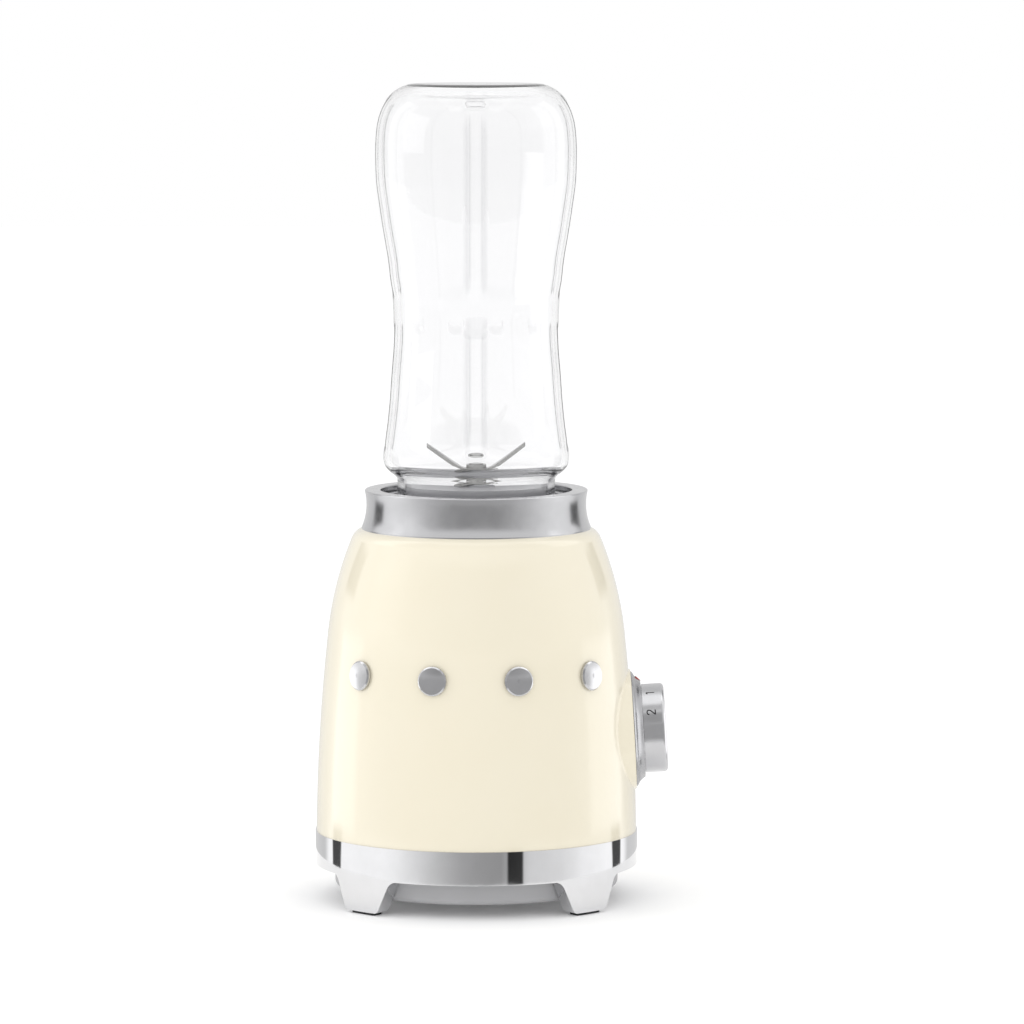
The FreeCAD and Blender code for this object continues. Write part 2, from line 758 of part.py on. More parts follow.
def shaft_seal():
    """Rubber lip seal round the motor shaft in the cup's floor."""
    turned(
        "shaft_seal",
        ("shaft_radius + running_gap", cup_bottom),
        ("6", cup_bottom),
        ("6", cup_floor),
        ("8.5", cup_floor),
        ("8.5", f"{cup_floor} + 1"),
        ("shaft_radius + 1", f"{cup_floor} + 1.6"),
        ("shaft_radius + running_gap", f"{cup_floor} + 1"),
    )


# Motor, fixed parts ----------------------------------------------------------------------------

def upper_bracket_plate():
    """Plate that hangs from the posts on rubber mounts and holds the upper bearing."""
    body = new_body("upper_bracket")
    housing = "(upper_bearing_radius + bearing_housing_wall)"
    turn(
        body,
        ("upper_bearing_radius - 2.5", upper_bracket),
        ("post_reach + mount_radius", upper_bracket),
        ("post_reach + mount_radius", upper_bracket_top),
        (housing, upper_bracket_top),
        (housing, f"{upper_bracket_top} + upper_bearing_width"),
        ("upper_bearing_radius", f"{upper_bracket_top} + upper_bearing_width"),
        ("upper_bearing_radius", upper_bracket_top),
        ("upper_bearing_radius - 2.5", upper_bracket_top),
    )
    post = ("post_reach * cos(45)", "post_reach * sin(45)")
    mount_hole = pocket(body, upper_bracket, "bracket_thickness", (circle, *post, "mount_core_radius"))
    vent = pocket(body, upper_bracket, "bracket_thickness",
                  (sector, f"{housing} + 2", "post_reach - 5", "0", "20"))
    around(body, [mount_hole, vent], 4)
    bolt_hole = pocket(body, upper_bracket, "bracket_thickness",
                       (circle, "0", "tie_bolt_reach", "tie_bolt_radius + screw_gap"))
    around(body, [bolt_hole], 2)


def lower_bracket_plate():
    """Plate under the motor that holds the lower bearing and the brush holders."""
    body = new_body("lower_bracket")
    housing = "(lower_bearing_radius + bearing_housing_wall)"
    top = f"({lower_bracket} + bracket_thickness)"
    turn(
        body,
        ("lower_bearing_radius - 2", f"{lower_bearing_bottom} - 1"),
        (housing, f"{lower_bearing_bottom} - 1"),
        (housing, lower_bracket),
        ("bracket_radius", lower_bracket),
        ("bracket_radius", top),
        ("lower_bearing_radius", top),
        ("lower_bearing_radius", lower_bearing_bottom),
        ("lower_bearing_radius - 2", lower_bearing_bottom),
    )
    vent = pocket(body, lower_bracket, "bracket_thickness",
                  (sector, f"{housing} + 2", "bracket_radius - 4", "45", "18"))
    around(body, [vent], 4)
    bolt_hole = pocket(body, lower_bracket, "bracket_thickness",
                       (circle, "0", "tie_bolt_reach", "tie_bolt_radius + fit_gap"))
    around(body, [bolt_hole], 2)


def bearing(label, bottom, width, outer, bore):
    """Make a ball bearing as one ring with a groove on each face between its races."""
    top = f"({bottom} + {width})"
    inner = f"({bore} + running_gap)"
    first = f"({inner} + ({outer} - {inner}) * 0.35)"
    second = f"({inner} + ({outer} - {inner}) * 0.65)"
    turned(
        label,
        (inner, bottom),
        (first, bottom),
        (first, f"{bottom} + 0.6"),
        (second, f"{bottom} + 0.6"),
        (second, bottom),
        (outer, bottom),
        (outer, top),
        (second, top),
        (second, f"{top} - 0.6"),
        (first, f"{top} - 0.6"),
        (first, top),
        (inner, top),
    )


def motor_mounts():
    """Four rubber bushes, grooved round the upper bracket's holes."""
    body = new_body("motor_mounts")
    post = ("post_reach * cos(45)", "post_reach * sin(45)")
    lower = pad(body, f"{upper_bracket} - mount_flange", "mount_flange", (circle, *post, "mount_radius"))
    core = pad(body, upper_bracket, "bracket_thickness", (circle, *post, "mount_core_radius"))
    upper = pad(body, upper_bracket_top, "mount_flange", (circle, *post, "mount_radius"))
    around(body, [lower, core, upper], 4)
    bore = pocket(body, f"{upper_bracket} - mount_flange", "2 * mount_flange + bracket_thickness",
                  (circle, *post, "1.5 + screw_gap"))
    around(body, [bore], 4)


def stator_core():
    """Laminated field core: a round yoke with two poles that face the armature along X."""
    body = new_body("stator_core")
    bore = "(armature_radius + air_gap)"
    pad(body, stator_bottom, "stator_length", (circle, "0", "0", "stator_radius"), (circle, "0", "0", bore))
    slot = pocket(body, stator_bottom, "stator_length",
                  (sector, f"{bore} - 1", "stator_radius - stator_yoke", "90", "90 - pole_half_angle"))
    bolt_hole = pocket(body, stator_bottom, "stator_length",
                       (circle, "0", "tie_bolt_reach", "tie_bolt_radius + fit_gap"))
    around(body, [slot, bolt_hole], 2)


def field_coils():
    """Two saddle-shaped windings, one round each pole of the field core."""
    body = new_body("field_coils")
    inner = "(armature_radius + air_gap + 1)"
    outer = "(stator_radius - stator_yoke - 0.6)"
    bottom = f"({stator_bottom} - end_turn)"
    length = "(stator_length + 2 * end_turn)"
    solid = pad(body, bottom, length, (sector, inner, outer, "0", "86"))
    around(body, [solid], 2)
    window = pocket(body, f"{stator_bottom} - fit_gap", "stator_length + 2 * fit_gap",
                    (sector, f"{inner} - 1", f"{outer} + 1", "0", "pole_half_angle + 1"))
    around(body, [window], 2)


def tie_bolts():
    """Two long bolts that clamp the brackets either side of the field core."""
    shank_length = f"{upper_bracket_top} - {lower_bracket}"
    head = (f"{lower_bracket} - 2.5", "2.5", "3")
    screws("tie_bolts", 2, "tie_bolt_reach", "90", head, (lower_bracket, shank_length, "tie_bolt_radius"))


def brush_holders():
    """Two square tubes on feet, one each side of the commutator."""
    body = new_body("brush_holders")
    plate_top = f"({lower_bracket} + bracket_thickness)"
    tube_bottom = f"({commutator_bottom} + (commutator_length - brush_height) / 2 - 1)"
    foot = pad(body, plate_top, f"{tube_bottom} - {plate_top}", (rectangle, "22", "-4", "8", "8"))
    tube = pad(body, tube_bottom, "brush_height + 2",
               (rectangle, "commutator_radius + 2", "-brush_width / 2 - 1", "17", "brush_width + 2"))
    across(body, [foot, tube])
    bore = pocket(body, f"{tube_bottom} + 1", "brush_height",
                  (rectangle, "commutator_radius + 1", "-brush_width / 2", "15", "brush_width"))
    across(body, [bore])


def carbon_brushes():
    """Two carbon blocks that slide in the holders and stop just short of the commutator."""
    body = new_body("carbon_brushes")
    bottom = f"({commutator_bottom} + (commutator_length - brush_height) / 2)"
    block = pad(body, f"{bottom} + screw_gap", "brush_height - 2 * screw_gap",
                (rectangle, "commutator_radius + slide_gap", "-brush_width / 2 + screw_gap", "11",
                 "brush_width - 2 * screw_gap"))
    across(body, [block])


# Motor, turning parts --------------------------------------------------------------------------

def motor_shaft():
    """Stepped steel shaft from below the lower bearing up into the drive coupling."""
    turned(
        "motor_shaft",
        ("0", f"{lower_bearing_bottom} - 0.5"),
        ("shaft_end_radius", f"{lower_bearing_bottom} - 0.5"),
        ("shaft_end_radius", f"{lower_bearing_bottom} + lower_bearing_width + 0.5"),
        ("shaft_radius", f"{lower_bearing_bottom} + lower_bearing_width + 0.5"),
        ("shaft_radius", f"{coupling_top} - 2"),
        ("0", f"{coupling_top} - 2"),
    )


def armature_core():
    """Slotted lamination stack on the shaft."""
    body = new_body("armature_core")
    pad(body, stator_bottom, "stator_length",
        (circle, "0", "0", "armature_radius"), (circle, "0", "0", "shaft_radius"))
    slot = pocket(body, stator_bottom, "stator_length",
                  (rectangle, "armature_radius - 6", "-1.1", "8", "2.2"))
    around(body, [slot], 12)


def armature_windings():
    """The two bundles of copper end turns, above and below the armature core."""
    body = new_body("armature_windings")
    for bottom in (f"({stator_bottom} - end_turn)", stator_top):
        turn(
            body,
            ("shaft_radius", bottom),
            ("armature_radius - 4", bottom, "left", "end_turn / 2 + 0.5"),
            ("armature_radius - 4", f"{bottom} + end_turn"),
            ("shaft_radius", f"{bottom} + end_turn"),
        )


def commutator():
    """Copper segments on the shaft, parted by thin slots."""
    body = new_body("commutator")
    pad(body, commutator_bottom, "commutator_length",
        (circle, "0", "0", "commutator_radius"), (circle, "0", "0", "shaft_radius"))
    slot = pocket(body, commutator_bottom, "commutator_length",
                  (rectangle, "commutator_radius - 1", "-0.3", "2", "0.6"))
    around(body, [slot], 12)


def cooling_fan():
    """Moulded fan on the shaft above the armature, with ten straight blades."""
    body = new_body("cooling_fan")
    pad(body, fan_bottom, "fan_disc", (circle, "0", "0", "fan_radius"), (circle, "0", "0", "shaft_radius"))
    pad(body, fan_bottom, "fan_height",
        (circle, "0", "0", "shaft_radius + 3"), (circle, "0", "0", "shaft_radius"))
    blade = pad(body, f"{fan_bottom} + fan_disc", "fan_height - fan_disc",
                (rectangle, "shaft_radius + 5", "-0.6", "fan_radius - shaft_radius - 6", "1.2"))
    around(body, [blade], 10)


def drive_coupling():
    """Toothed coupling on top of the motor shaft."""
    body = new_body("drive_coupling")
    height = f"{coupling_top} - {coupling_bottom}"
    pad(body, coupling_bottom, height, (circle, "0", "0", "coupling_core"))
    tooth = pad(body, teeth_bottom, f"{coupling_top} - {teeth_bottom}",
                (rectangle, "coupling_core - 1", "-tooth_width / 2", "coupling_reach - coupling_core + 1", "tooth_width"))
    around(body, [tooth], "tooth_count")
    pocket(body, coupling_bottom, f"{height} - 2", (circle, "0", "0", "shaft_radius"))


# Electrics and the lid switch ------------------------------------------------------------------

def control_board():
    """Circuit board screwed across the skirt's shelf."""
    body = new_body("control_board")
    pad(body, shelf_top, "board_thickness",
        (rectangle, "-board_length / 2", "-board_width / 2", "board_length", "board_width"))
    hole = pocket(body, shelf_top, "board_thickness", (circle, board_screw_reach, "0", "1 + fit_gap"))
    across(body, [hole])


def board_screws():
    """Two screws that hold the board's ends."""
    board_top = f"({shelf_top} + board_thickness)"
    shank = ("arch_height + 0.5", "shelf_thickness + board_thickness - 0.5", "1")
    screws("board_screws", 2, board_screw_reach, "0", (board_top, "1.4", "2"), shank)


def board_parts():
    """The larger parts soldered on the board: capacitors, a choke, a heat sink and a terminal block."""
    body = new_body("board_parts")
    board_top = f"({shelf_top} + board_thickness)"
    pad(body, board_top, "7.5", (circle, "-30", "12", "5"), (circle, "-30", "-12", "4"))
    pad(body, board_top, "6", (rectangle, "22", "-18", "18", "10"))
    pad(body, board_top, "7", (rectangle, "24", "6", "14", "12"))
    pad(body, board_top, "5", (circle, "0", "-16", "6"), (circle, "0", "-16", "3"))


def lid_switch():
    """Switch box under the cup's floor, with a bore for the plunger and its spring."""
    body = new_body("interlock_switch")
    bottom = f"({cup_bottom} - lid_switch_height)"
    pad(body, bottom, "lid_switch_height",
        (rectangle, f"-({lid_switch_reach}) - 5", "-8", "10", "16"))
    pocket(body, f"{bottom} + 2", "lid_switch_height - 2",
           (circle, f"-({lid_switch_reach})", "0", "plunger_radius + running_gap"))


def lid_plunger():
    """Pin through the cup's floor that the seated blade unit presses down."""
    body = new_body("interlock_plunger")
    top = f"({holder_bottom} - slide_gap)"
    pad(body, plunger_bottom, f"{top} - {plunger_bottom}",
        (circle, f"-({lid_switch_reach})", "0", "plunger_radius"))


def plunger_spring():
    """Small coil spring between the switch's floor and the plunger."""
    body = new_body("plunger_spring")
    wire = "0.25"
    bottom = f"({cup_bottom} - lid_switch_height + 2)"
    coil = body.newObject("PartDesign::AdditiveHelix", "plunger_spring_coil")
    coil.Profile = new_sketch(body, "XZ_Plane", "0", [(circle, f"plunger_radius - 2 * {wire}", wire, wire)])
    coil.ReferenceAxis = (coil.Profile[0], ["V_Axis"])
    coil.Mode = "height-turns-growth"
    bind(coil, "Height", f"{plunger_bottom} - {bottom} - 2 * {wire} - screw_gap")
    coil.Turns = 4
    place(body, f"-({lid_switch_reach})", "0", bottom)


# Knob and its switch ---------------------------------------------------------------------------

def rotary_switch():
    """Switch behind the shell, with a threaded bushing through the knob's seat."""
    body = new_body("rotary_switch")
    front = "(boss_depth - switch_rise)"
    back = f"({front} + switch_depth)"
    shoulder = "(shell_wall + switch_setback)"
    pad(body, f"-{back}", "switch_depth",
        (rectangle, "-switch_width / 2", "-switch_width / 2", "switch_width", "switch_width"))
    pad(body, f"-{front}", f"{front} - {shoulder}", (circle, "0", "0", "bushing_radius + bushing_shoulder"))
    pad(body, f"-{shoulder}", f"{shoulder} + bushing_reach", (circle, "0", "0", "bushing_radius"))
    pocket(body, f"-{back} + 2", f"{back} + bushing_reach",
           (circle, "0", "0", "knob_spindle_radius + running_gap"))
    terminal = pad(body, f"-{back} - 4", "4.5", (rectangle, "switch_width / 2 - 5", "-2", "0.8", "4"))
    around(body, [terminal], 4)
    on_knob_axis(body)


def switch_nut():
    """Nut that clamps the bezel's inner flange to the shell."""
    body = new_body("switch_nut")
    pad(body, "bezel_floor", "switch_nut_height",
        (hexagon, "switch_nut_apothem"), (circle, "0", "0", "bushing_radius"))
    on_knob_axis(body)


def hexagon(sketch, apothem):
    """Draw a hexagon about the origin from its half width across flats."""
    reach = f"({apothem} / cos(30))"
    corners = [30 + 60 * side for side in range(6)]
    outline(sketch, *[(f"{reach} * cos({angle})", f"{reach} * sin({angle})") for angle in corners])


def knob_bezel():
    """Satin dish behind the knob, with a conical outside."""
    body = new_body("knob_bezel")
    inner = "(knob_radius - 1)"
    turn(
        body,
        ("bushing_radius + fit_gap", "0"),
        ("bezel_base_radius", "0"),
        ("bezel_face_radius", "bezel_thickness"),
        (inner, "bezel_thickness"),
        (inner, "bezel_floor"),
        ("bushing_radius + fit_gap", "bezel_floor"),
    )
    left = "-(bezel_face_radius + bezel_base_radius) / 2"
    mark = (rectangle, left, "-index_width / 2", "index_length", "index_width")
    pocket(body, "bezel_thickness / 2", "bezel_thickness", mark)
    on_knob_axis(body)


def knob_index():
    """Red insert at the top of the bezel, which the knob's figures are read against."""
    body = new_body("knob_index")
    left = "-(bezel_face_radius + bezel_base_radius) / 2"
    mark = (rectangle, f"{left} + screw_gap", "-index_width / 2 + screw_gap",
            "index_length - 2 * screw_gap", "index_width - 2 * screw_gap")
    pad(body, "bezel_thickness / 2", "bezel_thickness / 2 + index_stand", mark)
    above = "(bezel_thickness + index_stand)"
    turn(
        body,
        ("bezel_face_radius", above),
        ("bezel_base_radius", "index_stand"),
        ("bezel_base_radius + 1", "index_stand"),
        ("bezel_base_radius + 1", f"{above} + 1"),
        ("bezel_face_radius", f"{above} + 1"),
        kind="Groove",
    )
    on_knob_axis(body)


def knob_spindle():
    """Spindle of the rotary switch, pressed into the knob."""
    body = new_body("knob_spindle")
    back = "(boss_depth + switch_depth - 6.5)"
    pad(body, f"-{back}", f"{back} + knob_face - 4", (circle, "0", "0", "knob_spindle_radius"))
    on_knob_axis(body)


def knob_cap():
    """Hollow knob with a rounded face edge, a recessed skirt inside the bezel, and a central socket."""
    body = new_body("knob_cap")
    skirt = "(knob_radius - 1 - 2 * slide_gap)"
    shoulder = "(bezel_thickness + slide_gap)"
    ceiling = "(knob_face - 2.5)"
    turn(
        body,
        ("0", "knob_face - 4"),
        ("knob_spindle_radius", "knob_face - 4"),
        ("knob_spindle_radius", "4.2"),
        ("knob_spindle_radius + knob_wall", "4.2"),
        ("knob_spindle_radius + knob_wall", ceiling),
        (f"{skirt} - knob_wall", ceiling),
        (f"{skirt} - knob_wall", "bezel_floor + 2 * slide_gap"),
        (skirt, "bezel_floor + 2 * slide_gap"),
        (skirt, shoulder),
        ("knob_radius", shoulder),
        ("knob_radius", "knob_face - knob_round", "left", "knob_round"),
        ("knob_radius - knob_round", "knob_face"),
        ("0", "knob_face"),
    )
    on_knob_axis(body)


# Studs on the front of the shell ---------------------------------------------------------------

def stud_copies(label, master):
    """Set four copies of a master piece round the front of the shell, as one node."""
    copies = []
    for index in range(4):
        copy = doc.addObject("App::Link", f"{label}_copy")
        copy.LinkedObject = master
        on_stud(copy, index)
        copies.append(copy)
    group = doc.addObject("Part::Compound", label)
    group.Links = copies
    return node(group, label)


def emblem_studs():
    """Four plain domed studs, each with a pin through the shell."""
    master = doc.addObject("PartDesign::Body", "stud_master")
    dome_radius = "(((stud_radius - 0.6) ^ 2 + stud_crown ^ 2) / (2 * stud_crown))"
    turn(
        master,
        ("0", "-stud_pin_length"),
        ("stud_pin_radius", "-stud_pin_length"),
        ("stud_pin_radius", "0"),
        ("stud_radius", "0"),
        ("stud_radius", "stud_edge_height - 0.6"),
        ("stud_radius - 0.6", "stud_edge_height", "left", dome_radius),
        ("0", "stud_edge_height + stud_crown"),
    )
    stud_copies("emblem_studs", master)


def emblem_clips():
    """Push-on rings that hold the studs' pins inside the shell."""
    master = doc.addObject("PartDesign::Body", "clip_master")
    turn(
        master,
        ("stud_pin_radius", "-stud_pin_length + 0.8"),
        ("stud_pin_radius + 2", "-stud_pin_length + 0.8"),
        ("stud_pin_radius + 2", "-stud_pin_length + 1.6"),
        ("stud_pin_radius", "-stud_pin_length + 1.6"),
    )
    stud_copies("emblem_clips", master)


# Blade unit ------------------------------------------------------------------------------------

def blade_holder():
    """Moulded holder: a skirt with lugs that drops into the cup, a deck for the bottle and a raised plug."""
    body = new_body("blade_holder")
    guard_inner = "(guard_radius - guard_wall)"
    turn(
        body,
        (bush_radius, f"{bottle_rim} - 1"),
        ("hub_radius", f"{bottle_rim} - 1"),
        ("hub_radius", plug_underside),
        (guard_inner, plug_underside),
        (guard_inner, f"{holder_bottom} + 1"),
        ("guard_radius", f"{holder_bottom} + 1"),
        ("guard_radius", plug_underside),
        ("plug_radius - holder_floor", plug_underside),
        ("plug_radius - holder_floor", holder_underside),
        (holder_inner, holder_underside),
        (holder_inner, holder_bottom),
        ("holder_radius", holder_bottom),
        ("holder_radius", cup_rim),
        (holder_inner, cup_rim),
        (holder_inner, holder_deck),
        ("plug_radius", holder_deck),
        ("plug_radius", plug_top),
        ("hub_radius", plug_top),
        ("hub_radius", f"{hub_top} - 1"),
        ("hub_radius - 1", hub_top),
        (bush_radius, hub_top),
    )
    half_angle = degrees("asin(lug_width / 2 / holder_radius)")
    lug = pad(body, f"{holder_bottom} + 1", "lug_height",
              (sector, "holder_radius - 0.5", "holder_radius + lug_reach", "45", half_angle))
    around(body, [lug], 4)


def holder_bush():
    """Bronze bush in the holder's hub, which the blade spindle turns in."""
    turned(
        "holder_bush",
        ("spindle_radius + running_gap", f"{bottle_rim} - 1"),
        (bush_radius, f"{bottle_rim} - 1"),
        (bush_radius, f"{hub_top} - 2"),
        ("spindle_radius + running_gap", f"{hub_top} - 2"),
    )


def holder_seal():
    """Rubber seal above the bush."""
    turned(
        "holder_seal",
        ("spindle_radius + running_gap", f"{hub_top} - 2"),
        (bush_radius, f"{hub_top} - 2"),
        (bush_radius, hub_top),
        ("spindle_radius + running_gap", hub_top),
    )


def driven_coupling():
    """Coupling under the blade unit, with a toothed recess over the drive coupling."""
    body = new_body("driven_coupling")
    height = f"{driven_top} - {driven_bottom}"
    depth = f"{driven_cavity_top} - {driven_bottom}"
    pad(body, driven_bottom, height, (circle, "0", "0", "driven_radius"))
    pad(body, driven_top, "2", (circle, "0", "0", "spindle_radius + 2.5"))
    pocket(body, driven_bottom, depth, (circle, "0", "0", "coupling_core + slide_gap"))
    tooth = pocket(body, driven_bottom, depth,
                   (rectangle, "coupling_core - 1", "-tooth_width / 2 - slide_gap",
                    "coupling_reach - coupling_core + 1 + slide_gap", "tooth_width + 2 * slide_gap"))
    around(body, [tooth], "tooth_count")
    pocket(body, driven_cavity_top, "6", (circle, "0", "0", "spindle_radius"))


def blade_spindle():
    """Steel spindle from the driven coupling to the nut above the blades."""
    body = new_body("blade_spindle")
    pad(body, driven_cavity_top, f"{nut_top} + spindle_stand - {driven_cavity_top}",
        (circle, "0", "0", "spindle_radius"))


def blade_washer():
    """Washer between the hub and the lower blade."""
    body = new_body("blade_washer")
    pad(body, f"{hub_top} + slide_gap", f"{lower_blade_bottom} - {hub_top} - slide_gap",
        (circle, "0", "0", "spindle_radius + 2.6"), (circle, "0", "0", "spindle_radius"))


def bent_wing(reach, rise):
    """Return how high a bent wing's tip lies, below and on top, and where its top face starts to bend."""
    up = f"(({reach} - blade_flat) * tan({rise}))"
    return up, f"({up} + blade_thickness / cos({rise}))", f"(blade_flat - blade_thickness * tan({rise} / 2))"


def blade(label, bottom, reach, rises, facing):
    """Make a two-winged blade from strip: flat in the middle, each wing bent, points cut off aslant."""
    body = new_body(label)
    right_tip, right_top, right_bend = bent_wing(reach, rises[0])
    left_tip, left_top, left_bend = bent_wing(reach, rises[1])
    lower = [("-blade_flat", "0"), ("blade_flat", "0"), (reach, right_tip)]
    upper = [(reach, right_top), (right_bend, "blade_thickness"), (f"-{left_bend}", "blade_thickness"),
             (f"-{reach}", left_top), (f"-{reach}", left_tip)]
    strip = body.newObject("PartDesign::Pad", f"{label}_strip")
    strip.Profile = new_sketch(body, "XZ_Plane", "0", [(outline, *lower, *upper)])
    strip.Midplane = True
    bind(strip, "Length", "blade_width")
    half = "(blade_width / 2)"
    for side, turn_side in (("", "-"), ("-", "")):
        pocket(body, f"-{reach}", f"3 * {reach}",
               (outline, (f"{side}blade_flat", f"{turn_side}{half}"), (f"{side}({reach} + 1)", f"{turn_side}{half}"),
                (f"{side}({reach} + 1)", f"{turn_side}(blade_tip_width - {half})")))
    pocket(body, f"-{reach}", f"3 * {reach}", (circle, "0", "0", "spindle_radius"))
    place(body, "0", "0", bottom, facing)


def blade_nut():
    """Hexagonal nut that clamps both blades on the spindle."""
    body = new_body("blade_nut")
    pad(body, nut_bottom, "blade_nut_height",
        (hexagon, "blade_nut_width / 2 + 1.2"), (circle, "0", "0", "spindle_radius"))


# Bottle ----------------------------------------------------------------------------------------

def bottle_gasket():
    """Flat rubber ring between the holder's deck and the bottle's rim."""
    turned(
        "bottle_gasket",
        ("plug_radius + fit_gap", holder_deck),
        ("neck_radius + 0.8", holder_deck),
        ("neck_radius + 0.8", bottle_rim),
        ("plug_radius + fit_gap", bottle_rim),
    )


def bottle_side(inset):
    """Corners of the bottle's flank from its shoulder to its crown, set in by a distance."""
    belly_inset = f"(belly_radius - {inset})"
    crown = f"({bottle_rim} + bottle_height - {inset})"
    corner_radius = f"({belly_inset} - 5.6)"
    corner_height = f"({bottle_rim} + bottle_height - crown_drop + 22.5 - {inset} / 2)"
    return [
        (f"bottle_shoulder_radius - {inset}", f"{bottle_rim} + bottle_shoulder_height", "right", f"(900 + {inset})"),
        (f"waist_radius - {inset}", f"{bottle_rim} + waist_height - 1", "right", f"(75 + {inset})"),
        (f"waist_radius + 1.3 - {inset}", f"{bottle_rim} + waist_height + 13"),
        (f"belly_radius - 1.9 - {inset}", f"{bottle_rim} + bottle_height - belly_drop - 21", "left", f"(105 - {inset})"),
        (belly_inset, f"{bottle_rim} + bottle_height - belly_drop - 2"),
        (belly_inset, f"{bottle_rim} + bottle_height - crown_drop", "left", f"(48.4 - {inset})"),
        (corner_radius, corner_height, "left", f"(11.2 - {inset} * 0.6)"),
        ("crown_flat_radius", crown),
    ]


def bottle():
    """Clear upturned bottle: an open threaded neck at the bottom, a waist, and a closed crown."""
    body = new_body("bottle")
    neck_inner = "(neck_radius - bottle_wall)"
    neck_top = f"({bottle_rim} + neck_height)"
    ridge = f"({bottle_rim} + 3)"
    shoulder = f"({bottle_rim} + bottle_shoulder_height)"
    outer = bottle_side("0")
    inner = [corner[:2] for corner in bottle_side("bottle_wall")]
    bends = [corner[2:] for corner in bottle_side("bottle_wall")]
    inward = []
    for index in range(len(inner) - 1, -1, -1):
        bend = bends[index - 1] if index else ()
        if bend:
            bend = ("left" if bend[0] == "right" else "right", bend[1])
        inward.append((*inner[index], *bend))
    turn(
        body,
        (neck_inner, bottle_rim),
        ("neck_radius", bottle_rim),
        ("neck_radius", ridge),
        ("neck_radius + thread_reach", f"{ridge} + 0.6"),
        ("neck_radius + thread_reach", f"{ridge} + thread_width"),
        ("neck_radius", f"{ridge} + thread_width + 0.6"),
        ("neck_radius", neck_top, "left", "7.5"),
        ("bottle_shoulder_radius - 0.6", f"{shoulder} - 3"),
        *outer,
        ("0", outer[-1][1]),
        ("0", inner[-1][1]),
        *inward,
        ("bottle_shoulder_radius - bottle_wall - 0.6", f"{shoulder} - 2", "right", "7.5"),
        (neck_inner, f"{neck_top} + 1"),
    )


# Build, check and export -----------------------------------------------------------------------

for build_piece in (
    rubber_feet, base_skirt, bottom_cover, cord_gland, body_shell, collar_ring, seat_cup, shaft_seal,
    upper_bracket_plate, lower_bracket_plate, motor_mounts, stator_core, field_coils, tie_bolts,
    brush_holders, carbon_brushes, motor_shaft, armature_core, armature_windings, commutator,
    cooling_fan, drive_coupling, control_board, board_screws, board_parts, lid_switch, lid_plunger,
    plunger_spring, rotary_switch, switch_nut, knob_bezel, knob_index, knob_spindle, knob_cap,
    emblem_studs, emblem_clips, blade_holder, holder_bush, holder_seal, driven_coupling,
    blade_spindle, blade_washer, blade_nut, bottle_gasket, bottle,
):
    build_piece()

bearing("upper_bearing", upper_bracket_top, "upper_bearing_width", "upper_bearing_radius", "shaft_radius")
bearing("lower_bearing", lower_bearing_bottom, "lower_bearing_width", "lower_bearing_radius", "shaft_end_radius")

blade("lower_blade", lower_blade_bottom, "lower_blade_reach", ("lower_blade_rise", "-lower_blade_drop"),
      "lower_blade_facing")
blade("upper_blade", upper_blade_bottom, "upper_blade_reach", ("upper_blade_rise", "upper_blade_rise"), "0")

cover_head = ("cover_bottom + 0.3", "cover_wall + 0.2", "3")
cover_shank = ("cover_bottom + cover_wall + 0.5", f"{shelf_top} - cover_bottom - cover_wall - 0.5", "1.5")
screws("cover_screws", 4, "screw_reach", "15", cover_head, cover_shank)
screws("shell_screws", 4, "screw_reach", "45", ("arch_height - 2.5", "2.5", "3"), ("arch_height", "14", "1.5"))
collar_head = (f"{cup_flange_bottom} - 2", "2", "2.1")
screws("collar_screws", 4, collar_screw_reach, "45", collar_head, (cup_flange_bottom, "9", "1.1"))
mount_foot = f"({upper_bracket} - mount_flange)"
mount_shank = (mount_foot, "2 * mount_flange + bracket_thickness + 5", "1.5")
screws("motor_screws", 4, "post_reach", "45", (f"{mount_foot} - 2.5", "2.5", "3.5"), mount_shank)

doc.recompute()

failed = [thing.Name for thing in doc.Objects if {"Invalid", "Error"} & set(thing.State)]
if failed:
    raise RuntimeError(f"failed objects: {failed}")
for thing in doc.Objects:
    subtracts = thing.TypeId in ("PartDesign::Pocket", "PartDesign::Groove") or "Subtractive" in thing.TypeId
    if subtracts and thing.Shape.Volume > thing.BaseFeature.Shape.Volume - 0.01:
        raise RuntimeError(f"{thing.Name} cuts nothing")
for piece in nodes:
    if piece.Shape.isNull() or not piece.Shape.isValid() or not piece.Shape.Solids:
        raise RuntimeError(f"{piece.Label} has no valid solid")

os.makedirs("parts", exist_ok=True)
for piece in nodes:
    piece.Shape.exportStep(f"parts/{piece.Label}.step")
    box = piece.Shape.BoundBox
    print(f"{piece.Label}: {len(piece.Shape.Solids)} solid(s), z {box.ZMin:.2f} to {box.ZMax:.2f}")
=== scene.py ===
import math

